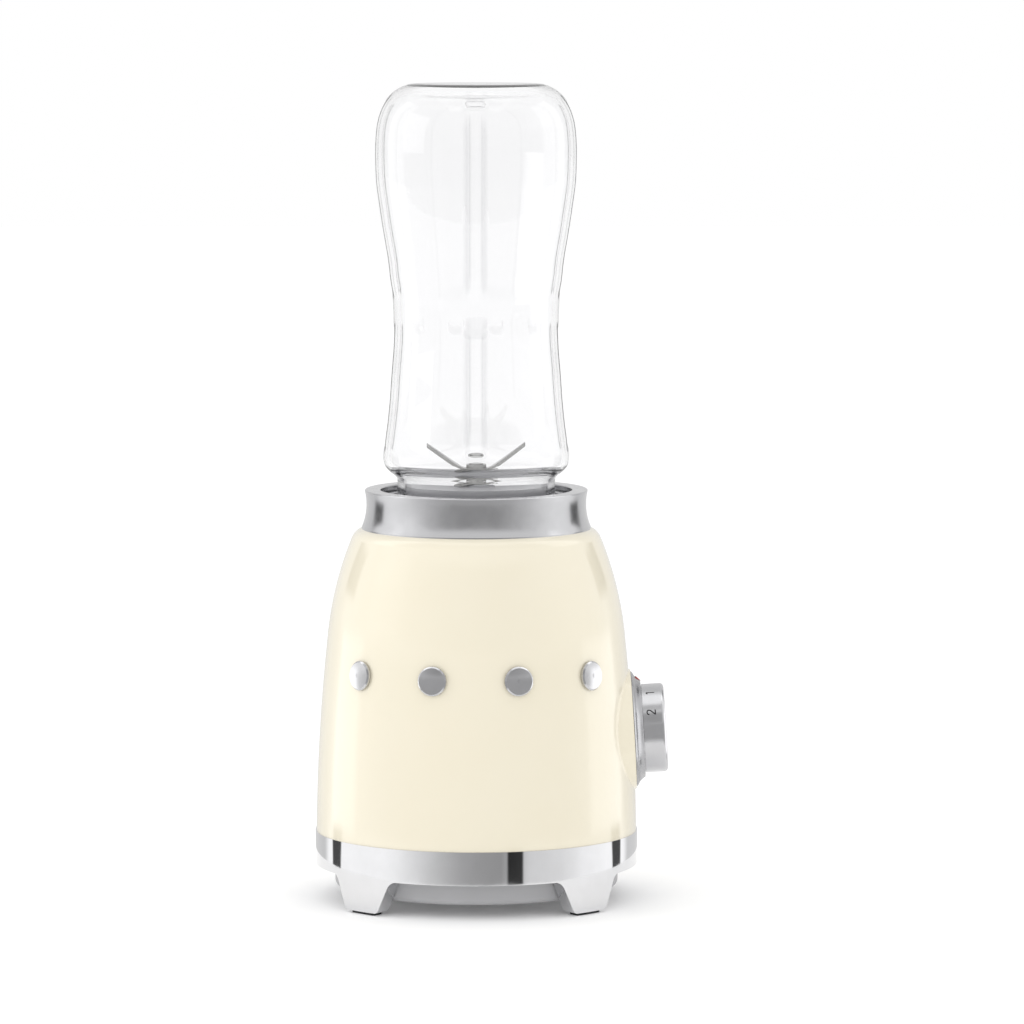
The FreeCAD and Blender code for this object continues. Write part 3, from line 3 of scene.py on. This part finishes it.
import bmesh
import bpy
import numpy as np
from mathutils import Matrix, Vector


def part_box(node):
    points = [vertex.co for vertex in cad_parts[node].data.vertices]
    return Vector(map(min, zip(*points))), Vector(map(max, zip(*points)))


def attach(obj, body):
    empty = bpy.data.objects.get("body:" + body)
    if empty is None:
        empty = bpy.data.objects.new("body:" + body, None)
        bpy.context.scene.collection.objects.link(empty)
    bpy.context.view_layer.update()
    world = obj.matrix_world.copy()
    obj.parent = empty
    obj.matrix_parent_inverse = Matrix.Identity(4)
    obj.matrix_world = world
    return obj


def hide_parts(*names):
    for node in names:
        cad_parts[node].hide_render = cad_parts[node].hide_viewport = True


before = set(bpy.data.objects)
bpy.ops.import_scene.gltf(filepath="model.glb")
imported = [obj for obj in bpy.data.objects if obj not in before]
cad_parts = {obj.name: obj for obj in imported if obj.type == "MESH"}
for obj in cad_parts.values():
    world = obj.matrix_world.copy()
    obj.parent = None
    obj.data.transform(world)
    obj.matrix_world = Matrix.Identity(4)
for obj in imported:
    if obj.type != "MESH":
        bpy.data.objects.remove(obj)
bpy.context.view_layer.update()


# The studio. The blender stands on a wide white table, with a soft light overhead and one on
# each side. The camera stands a little above the bottle's top and looks down at the front.

def srgb(code):
    """Turn a hex colour such as F4EEDC to linear red, green, blue and full alpha."""
    channels = np.array([int(code[i:i + 2], 16) for i in (0, 2, 4)]) / 255
    linear = np.where(channels <= 0.04045, channels / 12.92, ((channels + 0.055) / 1.055) ** 2.4)
    return (*linear, 1.0)


def add(material, kind, inputs=None, **settings):
    """Add a node, set its own settings, and fill its inputs with values or links."""
    node = material.node_tree.nodes.new(kind)
    for name, setting in settings.items():
        setattr(node, name, setting)
    for name, source in (inputs or {}).items():
        if isinstance(source, bpy.types.NodeSocket):
            material.node_tree.links.new(source, node.inputs[name])
        else:
            node.inputs[name].default_value = source
    return node


def new_material(name):
    """Start an empty node material, and return it with its output node."""
    material = bpy.data.materials.new(name)
    material.use_nodes = True
    material.node_tree.nodes.clear()
    return material, add(material, "ShaderNodeOutputMaterial")


def surface(name, grid, close_rows=False, close_columns=True):
    """Make a smooth mesh from a grid of points (rows, columns, 3), in metres.

    Each cell of the grid is a face. Rows or columns may close on themselves, and points that
    coincide, as at a pole, are merged.
    """
    rows, columns = grid.shape[:2]
    index = np.arange(rows * columns).reshape(rows, columns)
    down = np.vstack([index, index[:1]]) if close_rows else index
    both = np.hstack([down, down[:, :1]]) if close_columns else down
    quads = np.stack([both[:-1, :-1], both[:-1, 1:], both[1:, 1:], both[1:, :-1]], -1).reshape(-1, 4)
    mesh = bpy.data.meshes.new(name)
    mesh.from_pydata(grid.reshape(-1, 3), [], quads)
    tidy = bmesh.new()
    tidy.from_mesh(mesh)
    bmesh.ops.remove_doubles(tidy, verts=tidy.verts, dist=1e-7)
    bmesh.ops.recalc_face_normals(tidy, faces=tidy.faces)
    tidy.to_mesh(mesh)
    tidy.free()
    mesh.polygons.foreach_set("use_smooth", np.ones(len(mesh.polygons), bool))
    piece = bpy.data.objects.new(name, mesh)
    bpy.context.scene.collection.objects.link(piece)
    return piece


def stand(obj, place, look_at):
    """Put a light or a camera at a place and turn it to face a point."""
    obj.location = place
    obj.rotation_euler = (Vector(look_at) - Vector(place)).to_track_quat("-Z", "Y").to_euler()
    bpy.context.scene.collection.objects.link(obj)
    return obj


camera_aside, camera_away, camera_up = 0.0153, 2.49, 0.408
aim_up = 0.1662
camera = bpy.data.cameras.new("camera")
camera.lens = 205.3
camera.sensor_width = 36
camera_place = (camera_aside, -camera_away, camera_up)
stand(bpy.data.objects.new("camera", camera), camera_place, (camera_aside, 0, aim_up))
bpy.context.scene.camera = bpy.data.objects["camera"]
bpy.context.scene.view_settings.view_transform = "Standard"

world = bpy.data.worlds.new("white_room")
world.use_nodes = True
world.node_tree.nodes["Background"].inputs["Color"].default_value = (1, 1, 1, 1)
world.node_tree.nodes["Background"].inputs["Strength"].default_value = 1.0
bpy.context.scene.world = world

# Each light's name, place, width in metres and power in watts.
softboxes = (
    ("overhead_softbox", (0, -0.3, 1.6), 1.4, 2.2),
    ("left_softbox", (-1.5, -0.3, 0.7), 0.9, 3.0),
    ("right_softbox", (1.5, -0.5, 0.7), 0.9, 0.1),
)
body_middle = (0, 0, 0.15)
for light_name, place, size, power in softboxes:
    lamp = bpy.data.lights.new(light_name, "AREA")
    lamp.size = size
    lamp.energy = power
    stand(bpy.data.objects.new(light_name, lamp), place, body_middle)

# Matt white laminate: almost no gloss, so it takes only the soft shadow under the base. A
# slight glow keeps it white all over.
tabletop_finish, output = new_material("matt_white_laminate")
grain = add(tabletop_finish, "ShaderNodeTexNoise", {"Scale": 900.0})
bump = add(tabletop_finish, "ShaderNodeBump", {
    "Height": grain.outputs["Fac"], "Strength": 0.02, "Distance": 0.0002})
tabletop_shader = add(tabletop_finish, "ShaderNodeBsdfPrincipled", {
    "Base Color": srgb("FAFAFA"), "Roughness": 0.9, "Specular IOR Level": 0.1,
    "Normal": bump.outputs["Normal"], "Emission Color": srgb("FFFFFF"), "Emission Strength": 0.09})
tabletop_finish.node_tree.links.new(tabletop_shader.outputs["BSDF"], output.inputs["Surface"])

table_reach = 6.0
table_edges = np.array([-table_reach, table_reach])
floor_grid = np.stack([*np.meshgrid(table_edges, table_edges), np.zeros((2, 2))], -1)
tabletop = surface("tabletop", floor_grid, close_columns=False)
tabletop.data.materials.append(tabletop_finish)


def step(value, start, end):
    """Rise smoothly from 0 to 1 as the value goes from start to end: t squared times (3 - 2t)."""
    t = np.clip((value - start) / (end - start), 0, 1)
    return t * t * (3 - 2 * t)


def band(value, middle, width, soft):
    """Be 1 inside a band round the middle and 0 outside, with soft edges."""
    distance = np.abs(value - middle)
    return 1 - step(distance, width / 2 - soft / 2, width / 2 + soft / 2)


# A ring of reflectors stands round the blender and shows only in its glossy surfaces: white at
# the sides, grey at the front, with narrow black strips that give the plated parts their edges.
# Heights are in metres, and bearings in degrees from the front, positive towards the knob.
tent_radius, tent_height = 0.16, 0.46
around_tent = np.radians(np.arange(0, 360, 0.5))
tent_foot = 0.0005
up_tent = np.linspace(tent_foot, tent_height, 185)
tent_turn, tent_up = np.meshgrid(around_tent, up_tent)
tent_grid = np.stack([tent_radius * np.sin(tent_turn), -tent_radius * np.cos(tent_turn), tent_up], -1)
tent = surface("reflector_ring", tent_grid)
points = np.zeros(len(tent.data.vertices) * 3)
tent.data.vertices.foreach_get("co", points)
points = points.reshape(-1, 3)
bearing = np.degrees(np.arctan2(points[:, 0], -points[:, 1]))
level = points[:, 2]
by_skirt = 1 - step(level, 0.019, 0.022)
by_collar = band(level, 0.168, 0.1, 0.02)
by_collar_waist = band(level, 0.166, 0.04, 0.012)
behind = step(np.abs(bearing), 106, 116)

# At the height of the body: white, but greyer in front, both low down and beside the bottle.
front = 1 - step(np.abs(bearing), 50, 80)
low_down, by_bottle = 1 - step(level, 0.112, 0.12), step(level, 0.2, 0.3)
body_tone = 1.0 - 0.5 * front * low_down - 0.3 * front * by_bottle
flanks = band(bearing, -92, 26, 5) + band(bearing, 90, 34, 6)
body_tone = body_tone - 0.25 * behind + 0.8 * flanks

# At the skirt's height: white at the left, grading to grey at the front and up again beyond.
skirt_bearings = (-90, -55, -45, -30, -20, -8, 0, 14, 30, 50, 66, 90)
skirt_tones = (1.0, 0.98, 0.9, 0.66, 0.52, 0.38, 0.33, 0.3, 0.66, 0.74, 0.92, 1.02)
skirt_tone = 1.22 * np.interp(bearing, skirt_bearings, skirt_tones) - 0.5 * behind
for strip, width in ((-97, 11), (98, 11), (22, 9)):
    skirt_tone = skirt_tone * (1 - 0.93 * band(bearing, strip, width, 1.5))

# At the collar's height: grey in front, white to each side, and a dark strip before each edge.
collar_tone = 0.39 + 0.7 * step(np.abs(bearing), 12, 84) - 0.3 * behind
for strip in (-108, 110):
    collar_tone = collar_tone * (1 - 0.9 * by_collar_waist * band(bearing, strip, 17, 2))
tone = body_tone * (1 - by_skirt) * (1 - by_collar) + skirt_tone * by_skirt + collar_tone * by_collar
tent.data.attributes.new("tone", "FLOAT", "POINT").data.foreach_set("value", tone)
tent_finish, output = new_material("reflector_cloth")
tone_node = add(tent_finish, "ShaderNodeAttribute", attribute_name="tone")
glow = add(tent_finish, "ShaderNodeEmission", {"Color": tone_node.outputs["Fac"], "Strength": 1.0})
tent_finish.node_tree.links.new(glow.outputs["Emission"], output.inputs["Surface"])
tent.data.materials.append(tent_finish)
tent.visible_camera = False
tent.visible_diffuse = False
tent.visible_shadow = False
tent.visible_transmission = False


# Rubber feet. Four moulded pads of black nitrile rubber under the legs, pressed into the
# skirt's leg ends. They show as a thin dark line on the table.

def coordinates_in_mm(material, stretch=(1, 1, 1)):
    """Give the object's coordinates in millimetres, scaled along each axis by the stretch."""
    place = add(material, "ShaderNodeTexCoord").outputs["Object"]
    scale = tuple(1000 * share for share in stretch)
    product = add(material, "ShaderNodeVectorMath", {0: place, 1: scale}, operation="MULTIPLY")
    return product.outputs["Vector"]


def finish(name, colours, roughness, patch, grain, depth, stretch=(1, 1, 1), **inputs):
    """Make a finish whose colour and roughness drift over patches, with a fine grain in relief.

    The patch and grain sizes and the relief's depth are in millimetres, and the stretch draws
    the pattern out along an axis where it is below 1. Further inputs are the shader's own, with
    underscores for the spaces in their names.
    """
    material, output = new_material(name)
    place = coordinates_in_mm(material, stretch)
    patch_noise = add(material, "ShaderNodeTexNoise", {"Vector": place, "Scale": 1 / patch, "Detail": 3.0})
    patches = patch_noise.outputs["Fac"]
    colour = add(material, "ShaderNodeMix", {
        0: patches, 6: srgb(colours[0]), 7: srgb(colours[1])}, data_type="RGBA")
    gloss = add(material, "ShaderNodeMapRange", {
        "Value": patches, "From Min": 0.3, "From Max": 0.7,
        "To Min": roughness[0], "To Max": roughness[1]})
    grain_noise = add(material, "ShaderNodeTexNoise", {"Vector": place, "Scale": 1 / grain, "Detail": 2.0})
    relief = add(material, "ShaderNodeBump", {
        "Height": grain_noise.outputs["Fac"], "Strength": 1.0, "Distance": depth / 1000})
    extra = {key.replace("_", " "): value for key, value in inputs.items()}
    shader = add(material, "ShaderNodeBsdfPrincipled", {
        "Base Color": colour.outputs[2], "Roughness": gloss.outputs["Result"],
        "Normal": relief.outputs["Normal"], **extra})
    material.node_tree.links.new(shader.outputs["BSDF"], output.inputs["Surface"])
    return material


def coat_nodes(material, *names):
    """Give carried-over pieces a material in place of their plain one."""
    for name in names:
        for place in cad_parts[name].material_slots:
            place.material = material


# Black nitrile rubber: matt, with a fine bloom.
nitrile_rubber = finish("black_nitrile_rubber", ("17171A", "222225"), (0.62, 0.8), 6, 0.25, 0.01)
coat_nodes(nitrile_rubber, "rubber_feet", "motor_mounts", "shaft_seal", "cord_gland")


# Skirt. One die-cast ring with four legs, polished and chrome plated, held up into the shell
# by the shell screws.

# Decorative chrome: nearly a mirror, with the faint waviness that polishing leaves.
chrome_plate = finish("bright_chrome_plate", ("D9D9DA", "E4E4E6"), (0.03, 0.07), 9, 5, 0.0015,
                      Metallic=1.0)
coat_nodes(chrome_plate, "base_skirt")


# Bottom cover. An injection-moulded tray of grey ABS that closes the base, with its vents and
# screw bosses, and shows through the arches.

# Moulded ABS: satin, with a spark-eroded grain.
grey_abs = finish("grey_moulded_abs", ("A6A6A8", "B0B0B2"), (0.38, 0.5), 14, 0.3, 0.006, IOR=1.53)
coat_nodes(grey_abs, "bottom_cover")


# Screws, brackets and clips. Cold-headed or stamped steel, zinc plated, so pale grey with a
# slightly cloudy lustre.

zinc_plate = finish("zinc_plated_steel", ("B4B7BA", "C9CBCD"), (0.28, 0.45), 3, 0.4, 0.004, Metallic=1.0)
coat_nodes(zinc_plate, "cover_screws", "shell_screws", "collar_screws", "motor_screws", "board_screws",
           "upper_bracket", "lower_bracket", "tie_bolts", "switch_nut", "emblem_clips", "plunger_spring")


# Motor and controls. A universal motor: a stack of electrical steel laminations with copper
# field coils, and inside them the wound armature, its commutator and its fan on one ground
# shaft. Its control board and switches stand beside it.

# Electrical steel: dark, with the edges of half-millimetre sheets as fine level lines.
lamination_edges = finish("electrical_steel_sheets", ("5A5C60", "7B7D80"), (0.35, 0.5), 0.8, 0.5, 0.03,
                          stretch=(0.02, 0.02, 1), Metallic=1.0)
coat_nodes(lamination_edges, "stator_core", "armature_core")

# Enamelled copper wire: orange-brown and glossy, with the turns as a fine ribbing.
magnet_wire = finish("enamelled_copper_wire", ("A8552A", "C0703C"), (0.25, 0.4), 2, 0.8, 0.12, Metallic=1.0)
coat_nodes(magnet_wire, "field_coils", "armature_windings", "commutator")

# Sintered bronze, soaked in oil: brown gold and a little open in texture.
sintered_bronze = finish("sintered_bronze", ("8A6A36", "A07F46"), (0.35, 0.5), 1.5, 0.2, 0.01, Metallic=1.0)
coat_nodes(sintered_bronze, "upper_bearing", "lower_bearing", "holder_bush")

# Electrographite for the brushes: near black with a dull sheen.
graphite = finish("electrographite", ("1E1E20", "2B2B2E"), (0.4, 0.55), 1.2, 0.15, 0.006)
coat_nodes(graphite, "carbon_brushes")

# Black glass-filled nylon, for the parts that stand heat or wear.
black_nylon = finish("black_filled_nylon", ("1B1B1D", "29292B"), (0.42, 0.58), 5, 0.35, 0.012, IOR=1.53)
coat_nodes(black_nylon, "brush_holders", "cooling_fan", "drive_coupling", "driven_coupling",
           "interlock_switch", "rotary_switch", "board_parts", "knob_spindle", "interlock_plunger")

# Glass-epoxy laminate: green lacquer over a fine weave.
board_laminate = finish("glass_epoxy_board", ("1F5A38", "2A6B45"), (0.28, 0.38), 2, 0.4, 0.02, IOR=1.55)
coat_nodes(board_laminate, "control_board")


# Body shell. A pressed aluminium shell sprayed and baked in cream enamel. The collar screws
# and the shell screws hold it between the collar and the skirt.

# Baked enamel under a clear gloss: the faint orange peel is about three millimetres across.
cream_enamel = finish("cream_baked_enamel", ("ECE4CE", "EEE7D3"), (0.12, 0.18), 30, 3, 0.006,
                      IOR=1.5, Coat_Weight=0.5, Coat_Roughness=0.03)
coat_nodes(cream_enamel, "body_shell")


# Collar, studs and knob cap. Turned metal trim with a satin plating. Screws hold the collar,
# and the studs push into clips behind the shell.

# Satin chrome plating: blurs what it reflects, and keeps a cool grey.
satin_plate = finish("satin_chrome_plate", ("C4C4C6", "D2D2D4"), (0.16, 0.24), 7, 0.5, 0.0015,
                     Metallic=1.0)
coat_nodes(satin_plate, "collar_ring", "emblem_studs", "knob_cap")


# Bezel. A spun aluminium dish, plated to match the knob. Its flank is hollow, and the switch's
# nut clamps it to the shell.

def through(points, count):
    """Run a smooth curve through points, sampled evenly along its length.

    Each span is a Catmull-Rom cubic: it leaves a point along the line between its neighbours.
    """
    points = np.array(points, float)
    ends = np.vstack([2 * points[0] - points[1], points, 2 * points[-1] - points[-2]])
    t = np.linspace(0, 1, 40, endpoint=False)[:, None, None]
    before, start, end, after = ends[:-3], ends[1:-2], ends[2:-1], ends[3:]
    square = 2 * before - 5 * start + 4 * end - after
    cube = 3 * start - before - 3 * end + after
    spans = 0.5 * (2 * start + (end - before) * t + square * t ** 2 + cube * t ** 3)
    fine = np.vstack([spans.transpose(1, 0, 2).reshape(-1, points.shape[1]), points[-1:]])
    along = np.concatenate([[0], np.cumsum(np.linalg.norm(np.diff(fine, axis=0), axis=1))])
    even = np.linspace(0, along[-1], count)
    return np.stack([np.interp(even, along, column) for column in fine.T], -1)


# Where the knob's axis leaves the shell, in millimetres, and how far the axis leans up.
knob_tilt = math.radians(3.3)
knob_seat = np.array([67.5, 0, 72.6])


def along_knob(out, radius, turn):
    """Place points given by distance out along the knob's axis, radius and turn from the top.

    The axis leans up from the X axis by the tilt, and the turn goes from the top to the front.
    The distances are in millimetres and the points in metres.
    """
    axis = np.array([math.cos(knob_tilt), 0, math.sin(knob_tilt)])
    up = np.array([-math.sin(knob_tilt), 0, math.cos(knob_tilt)])
    front = np.array([0, -1, 0])
    out, radius, turn = (np.asarray(part)[..., None] for part in np.broadcast_arrays(out, radius, turn))
    return (knob_seat + out * axis + radius * (np.cos(turn) * up + np.sin(turn) * front)) / 1000


# Spun aluminium under satin plating: turned finely enough to blur what it reflects.
spun_aluminium = finish("satin_spun_aluminium", ("A9A9AB", "B6B6B8"), (0.24, 0.32), 5, 0.4, 0.002,
                        Metallic=1.0)

# The profile is in millimetres, as radius and distance out from the knob's seat.
bezel_section = np.array([(4.8, 1.2), (4.8, 0.02), (24.6, 0.02), (24.8, 0.25)])
bezel_flank = through([(24.8, 0.25), (24.0, 0.9), (22.9, 1.5), (21.9, 2.4), (21.25, 3.3), (20.95, 3.85)], 30)
bezel_lip = np.array([(20.7, 4.0), (18.3, 4.0), (18.0, 3.8), (18.0, 1.2)])
bezel_profile = np.vstack([bezel_section, bezel_flank[1:], bezel_lip])
bezel_turns = np.radians(np.arange(0, 360, 1.5))
bezel_grid = along_knob(bezel_profile[:, None, 1], bezel_profile[:, None, 0], bezel_turns[None])
bezel = surface("hollow_bezel", bezel_grid, close_rows=True)
bezel.data.materials.append(spun_aluminium)
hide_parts("knob_bezel")
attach(bezel, "base")

# Red ABS insert, pressed into the bezel.
red_insert = finish("red_moulded_insert", ("B02822", "BE342C"), (0.3, 0.4), 4, 0.3, 0.005, IOR=1.53)
coat_nodes(red_insert, "knob_index")


# Knob numbers. Pad-printed in black on the knob's side, one speed after the other, and read
# against the red insert.

# In millimetres: the knob's radius, the numbers' middle out from the seat, how far the ink
# stands out of the side and sinks into it, and the width of a stroke.
knob_side = 19.0
number_out = 7.8
ink_stand, ink_sink = 0.03, 0.02
stroke_width = 0.5


def printed_stroke(name, path, middle):
    """Make one stroke of a number as a thin raised ribbon that follows the knob's side.

    The path is in millimetres in the number's own plane, right and up from its middle, which
    stands at a turn in degrees from the knob's top.
    """
    line = through(path, 40)
    slope = np.gradient(line, axis=0)
    slope /= np.linalg.norm(slope, axis=1, keepdims=True)
    across = np.stack([-slope[:, 1], slope[:, 0]], -1)
    outside, inside = knob_side + ink_stand, knob_side - ink_sink
    sides = np.array([[-0.5, outside], [0.5, outside], [0.5, inside], [-0.5, inside]])
    spots = line[:, None] + across[:, None] * sides[None, :, :1] * stroke_width
    spots = np.concatenate([line[:1, None].repeat(4, 1), spots, line[-1:, None].repeat(4, 1)])
    lifts = np.tile(sides[:, 1], (len(spots), 1))
    lifts[[0, -1]] = knob_side
    turns = math.radians(middle) - spots[..., 0] / knob_side
    return surface(name, along_knob(number_out - spots[..., 1], lifts, turns))


# Pad-printing ink: black and slightly glossy.
printing_ink = finish("black_printing_ink", ("101012", "161618"), (0.3, 0.42), 1, 0.1, 0.001)
one_turn, two_turn = 31, 62
bow_of_two = ((-1.05, 0.85), (-0.7, 1.55), (0.1, 1.8), (0.9, 1.4), (0.85, 0.5), (0.1, -0.5), (-1.05, -1.7))
strokes = (
    ("number_one_stem", ((0.3, -1.8), (0.3, 0), (0.3, 1.8)), one_turn),
    ("number_one_flag", ((0.3, 1.75), (-0.15, 1.45), (-0.7, 1.2)), one_turn),
    ("number_two_bow", bow_of_two, two_turn),
    ("number_two_foot", ((-1.1, -1.72), (0, -1.72), (1.15, -1.72)), two_turn),
)
for stroke_name, path, middle in strokes:
    stroke = printed_stroke(stroke_name, path, middle)
    stroke.data.materials.append(printing_ink)
    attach(stroke, "knob")


# Blade unit. A moulded holder with a silicone seal, and ground stainless blades clamped on
# the spindle by a nut.

coat_nodes(grey_abs, "seat_cup", "blade_holder")

# Platinum silicone: translucent grey-white and slightly tacky.
silicone = finish("platinum_silicone", ("C9C9C6", "D6D6D3"), (0.45, 0.6), 5, 0.3, 0.006, IOR=1.41)
coat_nodes(silicone, "bottle_gasket", "holder_seal")

# Ground stainless steel: bright, with fine lines along the blade.
ground_stainless = finish("ground_stainless_steel", ("8A8A88", "B2B2B0"), (0.14, 0.28), 0.6, 0.15, 0.004,
                          stretch=(0.05, 1, 1), Metallic=1.0)
coat_nodes(ground_stainless, "lower_blade", "upper_blade", "blade_spindle", "blade_washer",
           "blade_nut", "motor_shaft")


# Bottle. One stretch-blown piece of clear copolyester, with grip flutes down its four
# quarters. It stands upside down, screwed to the blade unit.

def offset_inwards(profile, depth):
    """Move an (r, z) profile that runs upwards from the rim by a depth towards the inside."""
    slope = np.gradient(profile, axis=0)
    slope /= np.linalg.norm(slope, axis=1, keepdims=True)
    inside = profile + depth * np.stack([-slope[:, 1], slope[:, 0]], -1)
    inside[:, 0] = np.maximum(inside[:, 0], 0)
    return inside


# Radius and height in millimetres: a narrow neck, a shoulder, a waist, and the wide crown.
bottle_low, bottle_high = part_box("bottle")
bottle_top = bottle_high[2] * 1000
bottle_foot = bottle_low[2] * 1000
neck = [(33.8, bottle_foot), (33.8, 177.5), (34.0, 181.3)]
side = [(36.6, 183.6), (39.0, 186.2), (39.8, 190), (39.3, 197), (38.3, 205), (37.4, 214),
        (36.5, 227), (35.7, 237), (35.3, 249), (35.7, 258), (37.0, 266), (38.0, 275), (40.0, 287),
        (41.9, 300), (42.9, 308), (43.25, 318)]
crown = [(43.1, 326), (42.2, 333.5), (39.9, 340), (36.2, 345), (31.2, bottle_top - 1.2),
         (26, bottle_top - 0.1), (14, bottle_top - 0.7), (0, bottle_top - 1)]
bottle_wall = 2.8
outer = through(neck + side + crown, 132)
inner = offset_inwards(outer, bottle_wall)
inner[-1, 0] = 0
profile = np.vstack([outer[::-1], inner])

# The grid's turns are closer together across each flute, which is cut at the four quarters.
quarter = 90
from_flute = np.concatenate([np.linspace(-9, 9, 33), np.arange(10.2, 80.5, 1.2)])
turns = np.radians(np.concatenate([from_flute + quarter * number for number in range(4)]))
radius, turn = np.meshgrid(profile[:, 0], turns, indexing="ij")
height = np.repeat(profile[:, 1:], len(turns), 1)

# Each flute is a shallow channel in two runs, above and below the waist.
flute_depth, flute_width, flute_soft = 1.1, 9.2, 3.4
upper_run, lower_run, run_soft = (301, 80), (220, 50), 3.5
across_flute = (np.degrees(turn) + quarter / 2) % quarter - quarter / 2
lengthways = band(height, *upper_run, run_soft) + band(height, *lower_run, run_soft)
dents = flute_depth * band(np.radians(across_flute) * radius, 0, flute_width, flute_soft) * lengthways

# Four plain round bumps stand out of the waist in front.
waist_height, bump_stand, bump_flat, bump_radius = 249, 0.5, 2.2, 3.8
for bump_turn in (-43, -14, 14, 43):
    sideways = np.radians(np.degrees(turn) - (bump_turn % 360)) * radius
    from_bump = np.hypot(sideways, height - waist_height)
    dents = dents - bump_stand * (1 - step(from_bump, bump_flat, bump_radius))

# The inner face follows the dents by a quarter of their depth, and both fade out at the crown.
inner_share = 0.25
is_outside = (np.arange(len(profile)) < len(outer))[:, None]
radius = np.maximum(radius - dents * step(radius, 20, 30) * np.where(is_outside, 1, inner_share), 0)
bottle_grid = np.stack([radius * np.sin(turn), -radius * np.cos(turn), height], -1) / 1000
bottle = surface("clear_bottle", bottle_grid)

# The sides of each flute are shaded a little, because they bend light away from the eye.
places = np.zeros(len(bottle.data.vertices) * 3)
bottle.data.vertices.foreach_get("co", places)
x, y, z = 1000 * places.reshape(-1, 3).T
across = (np.degrees(np.arctan2(x, -y)) + quarter / 2) % quarter - quarter / 2
rise = band(np.radians(across) * np.hypot(x, y), 0, 7.4, 4.4)
shaded_runs = band(z, 298, 72, 10) + band(z, 220, 50, 8)
edge_shade = 4 * rise * (1 - rise) * shaded_runs
bottle.data.attributes.new("edge_shade", "FLOAT", "POINT").data.foreach_set("value", edge_shade)

# Clear copolyester: refracts a little more than water-clear acrylic, with a faint ripple
# from the blow mould.
clear_copolyester = finish("clear_copolyester", ("FAFAFB", "FCFCFC"), (0.01, 0.02), 60, 24, 0.02,
                           IOR=1.54, Transmission_Weight=1.0)
glass_nodes = clear_copolyester.node_tree.nodes
shade_node = add(clear_copolyester, "ShaderNodeAttribute", attribute_name="edge_shade")
shaded = add(clear_copolyester, "ShaderNodeMix", {
    0: shade_node.outputs["Fac"], 6: glass_nodes["Mix"].outputs[2], 7: srgb("EEEEEF")},
    data_type="RGBA")
shader_input = glass_nodes["Principled BSDF"].inputs["Base Color"]
clear_copolyester.node_tree.links.new(shaded.outputs[2], shader_input)

# Light that has bounced off the parts inside passes straight through, so they aren't left dark.
ray = add(clear_copolyester, "ShaderNodeLightPath")
passes = add(clear_copolyester, "ShaderNodeMath", {
    0: ray.outputs["Is Shadow Ray"], 1: ray.outputs["Is Diffuse Ray"]}, operation="MAXIMUM")
straight = add(clear_copolyester, "ShaderNodeBsdfTransparent", {"Color": srgb("F4F4F5")})
either = add(clear_copolyester, "ShaderNodeMixShader", {
    0: passes.outputs["Value"], 1: glass_nodes["Principled BSDF"].outputs["BSDF"],
    2: straight.outputs["BSDF"]})
clear_output = glass_nodes["Material Output"]
clear_copolyester.node_tree.links.new(either.outputs["Shader"], clear_output.inputs["Surface"])
bottle.data.materials.append(clear_copolyester)
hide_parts("bottle")
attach(bottle, "bottle")
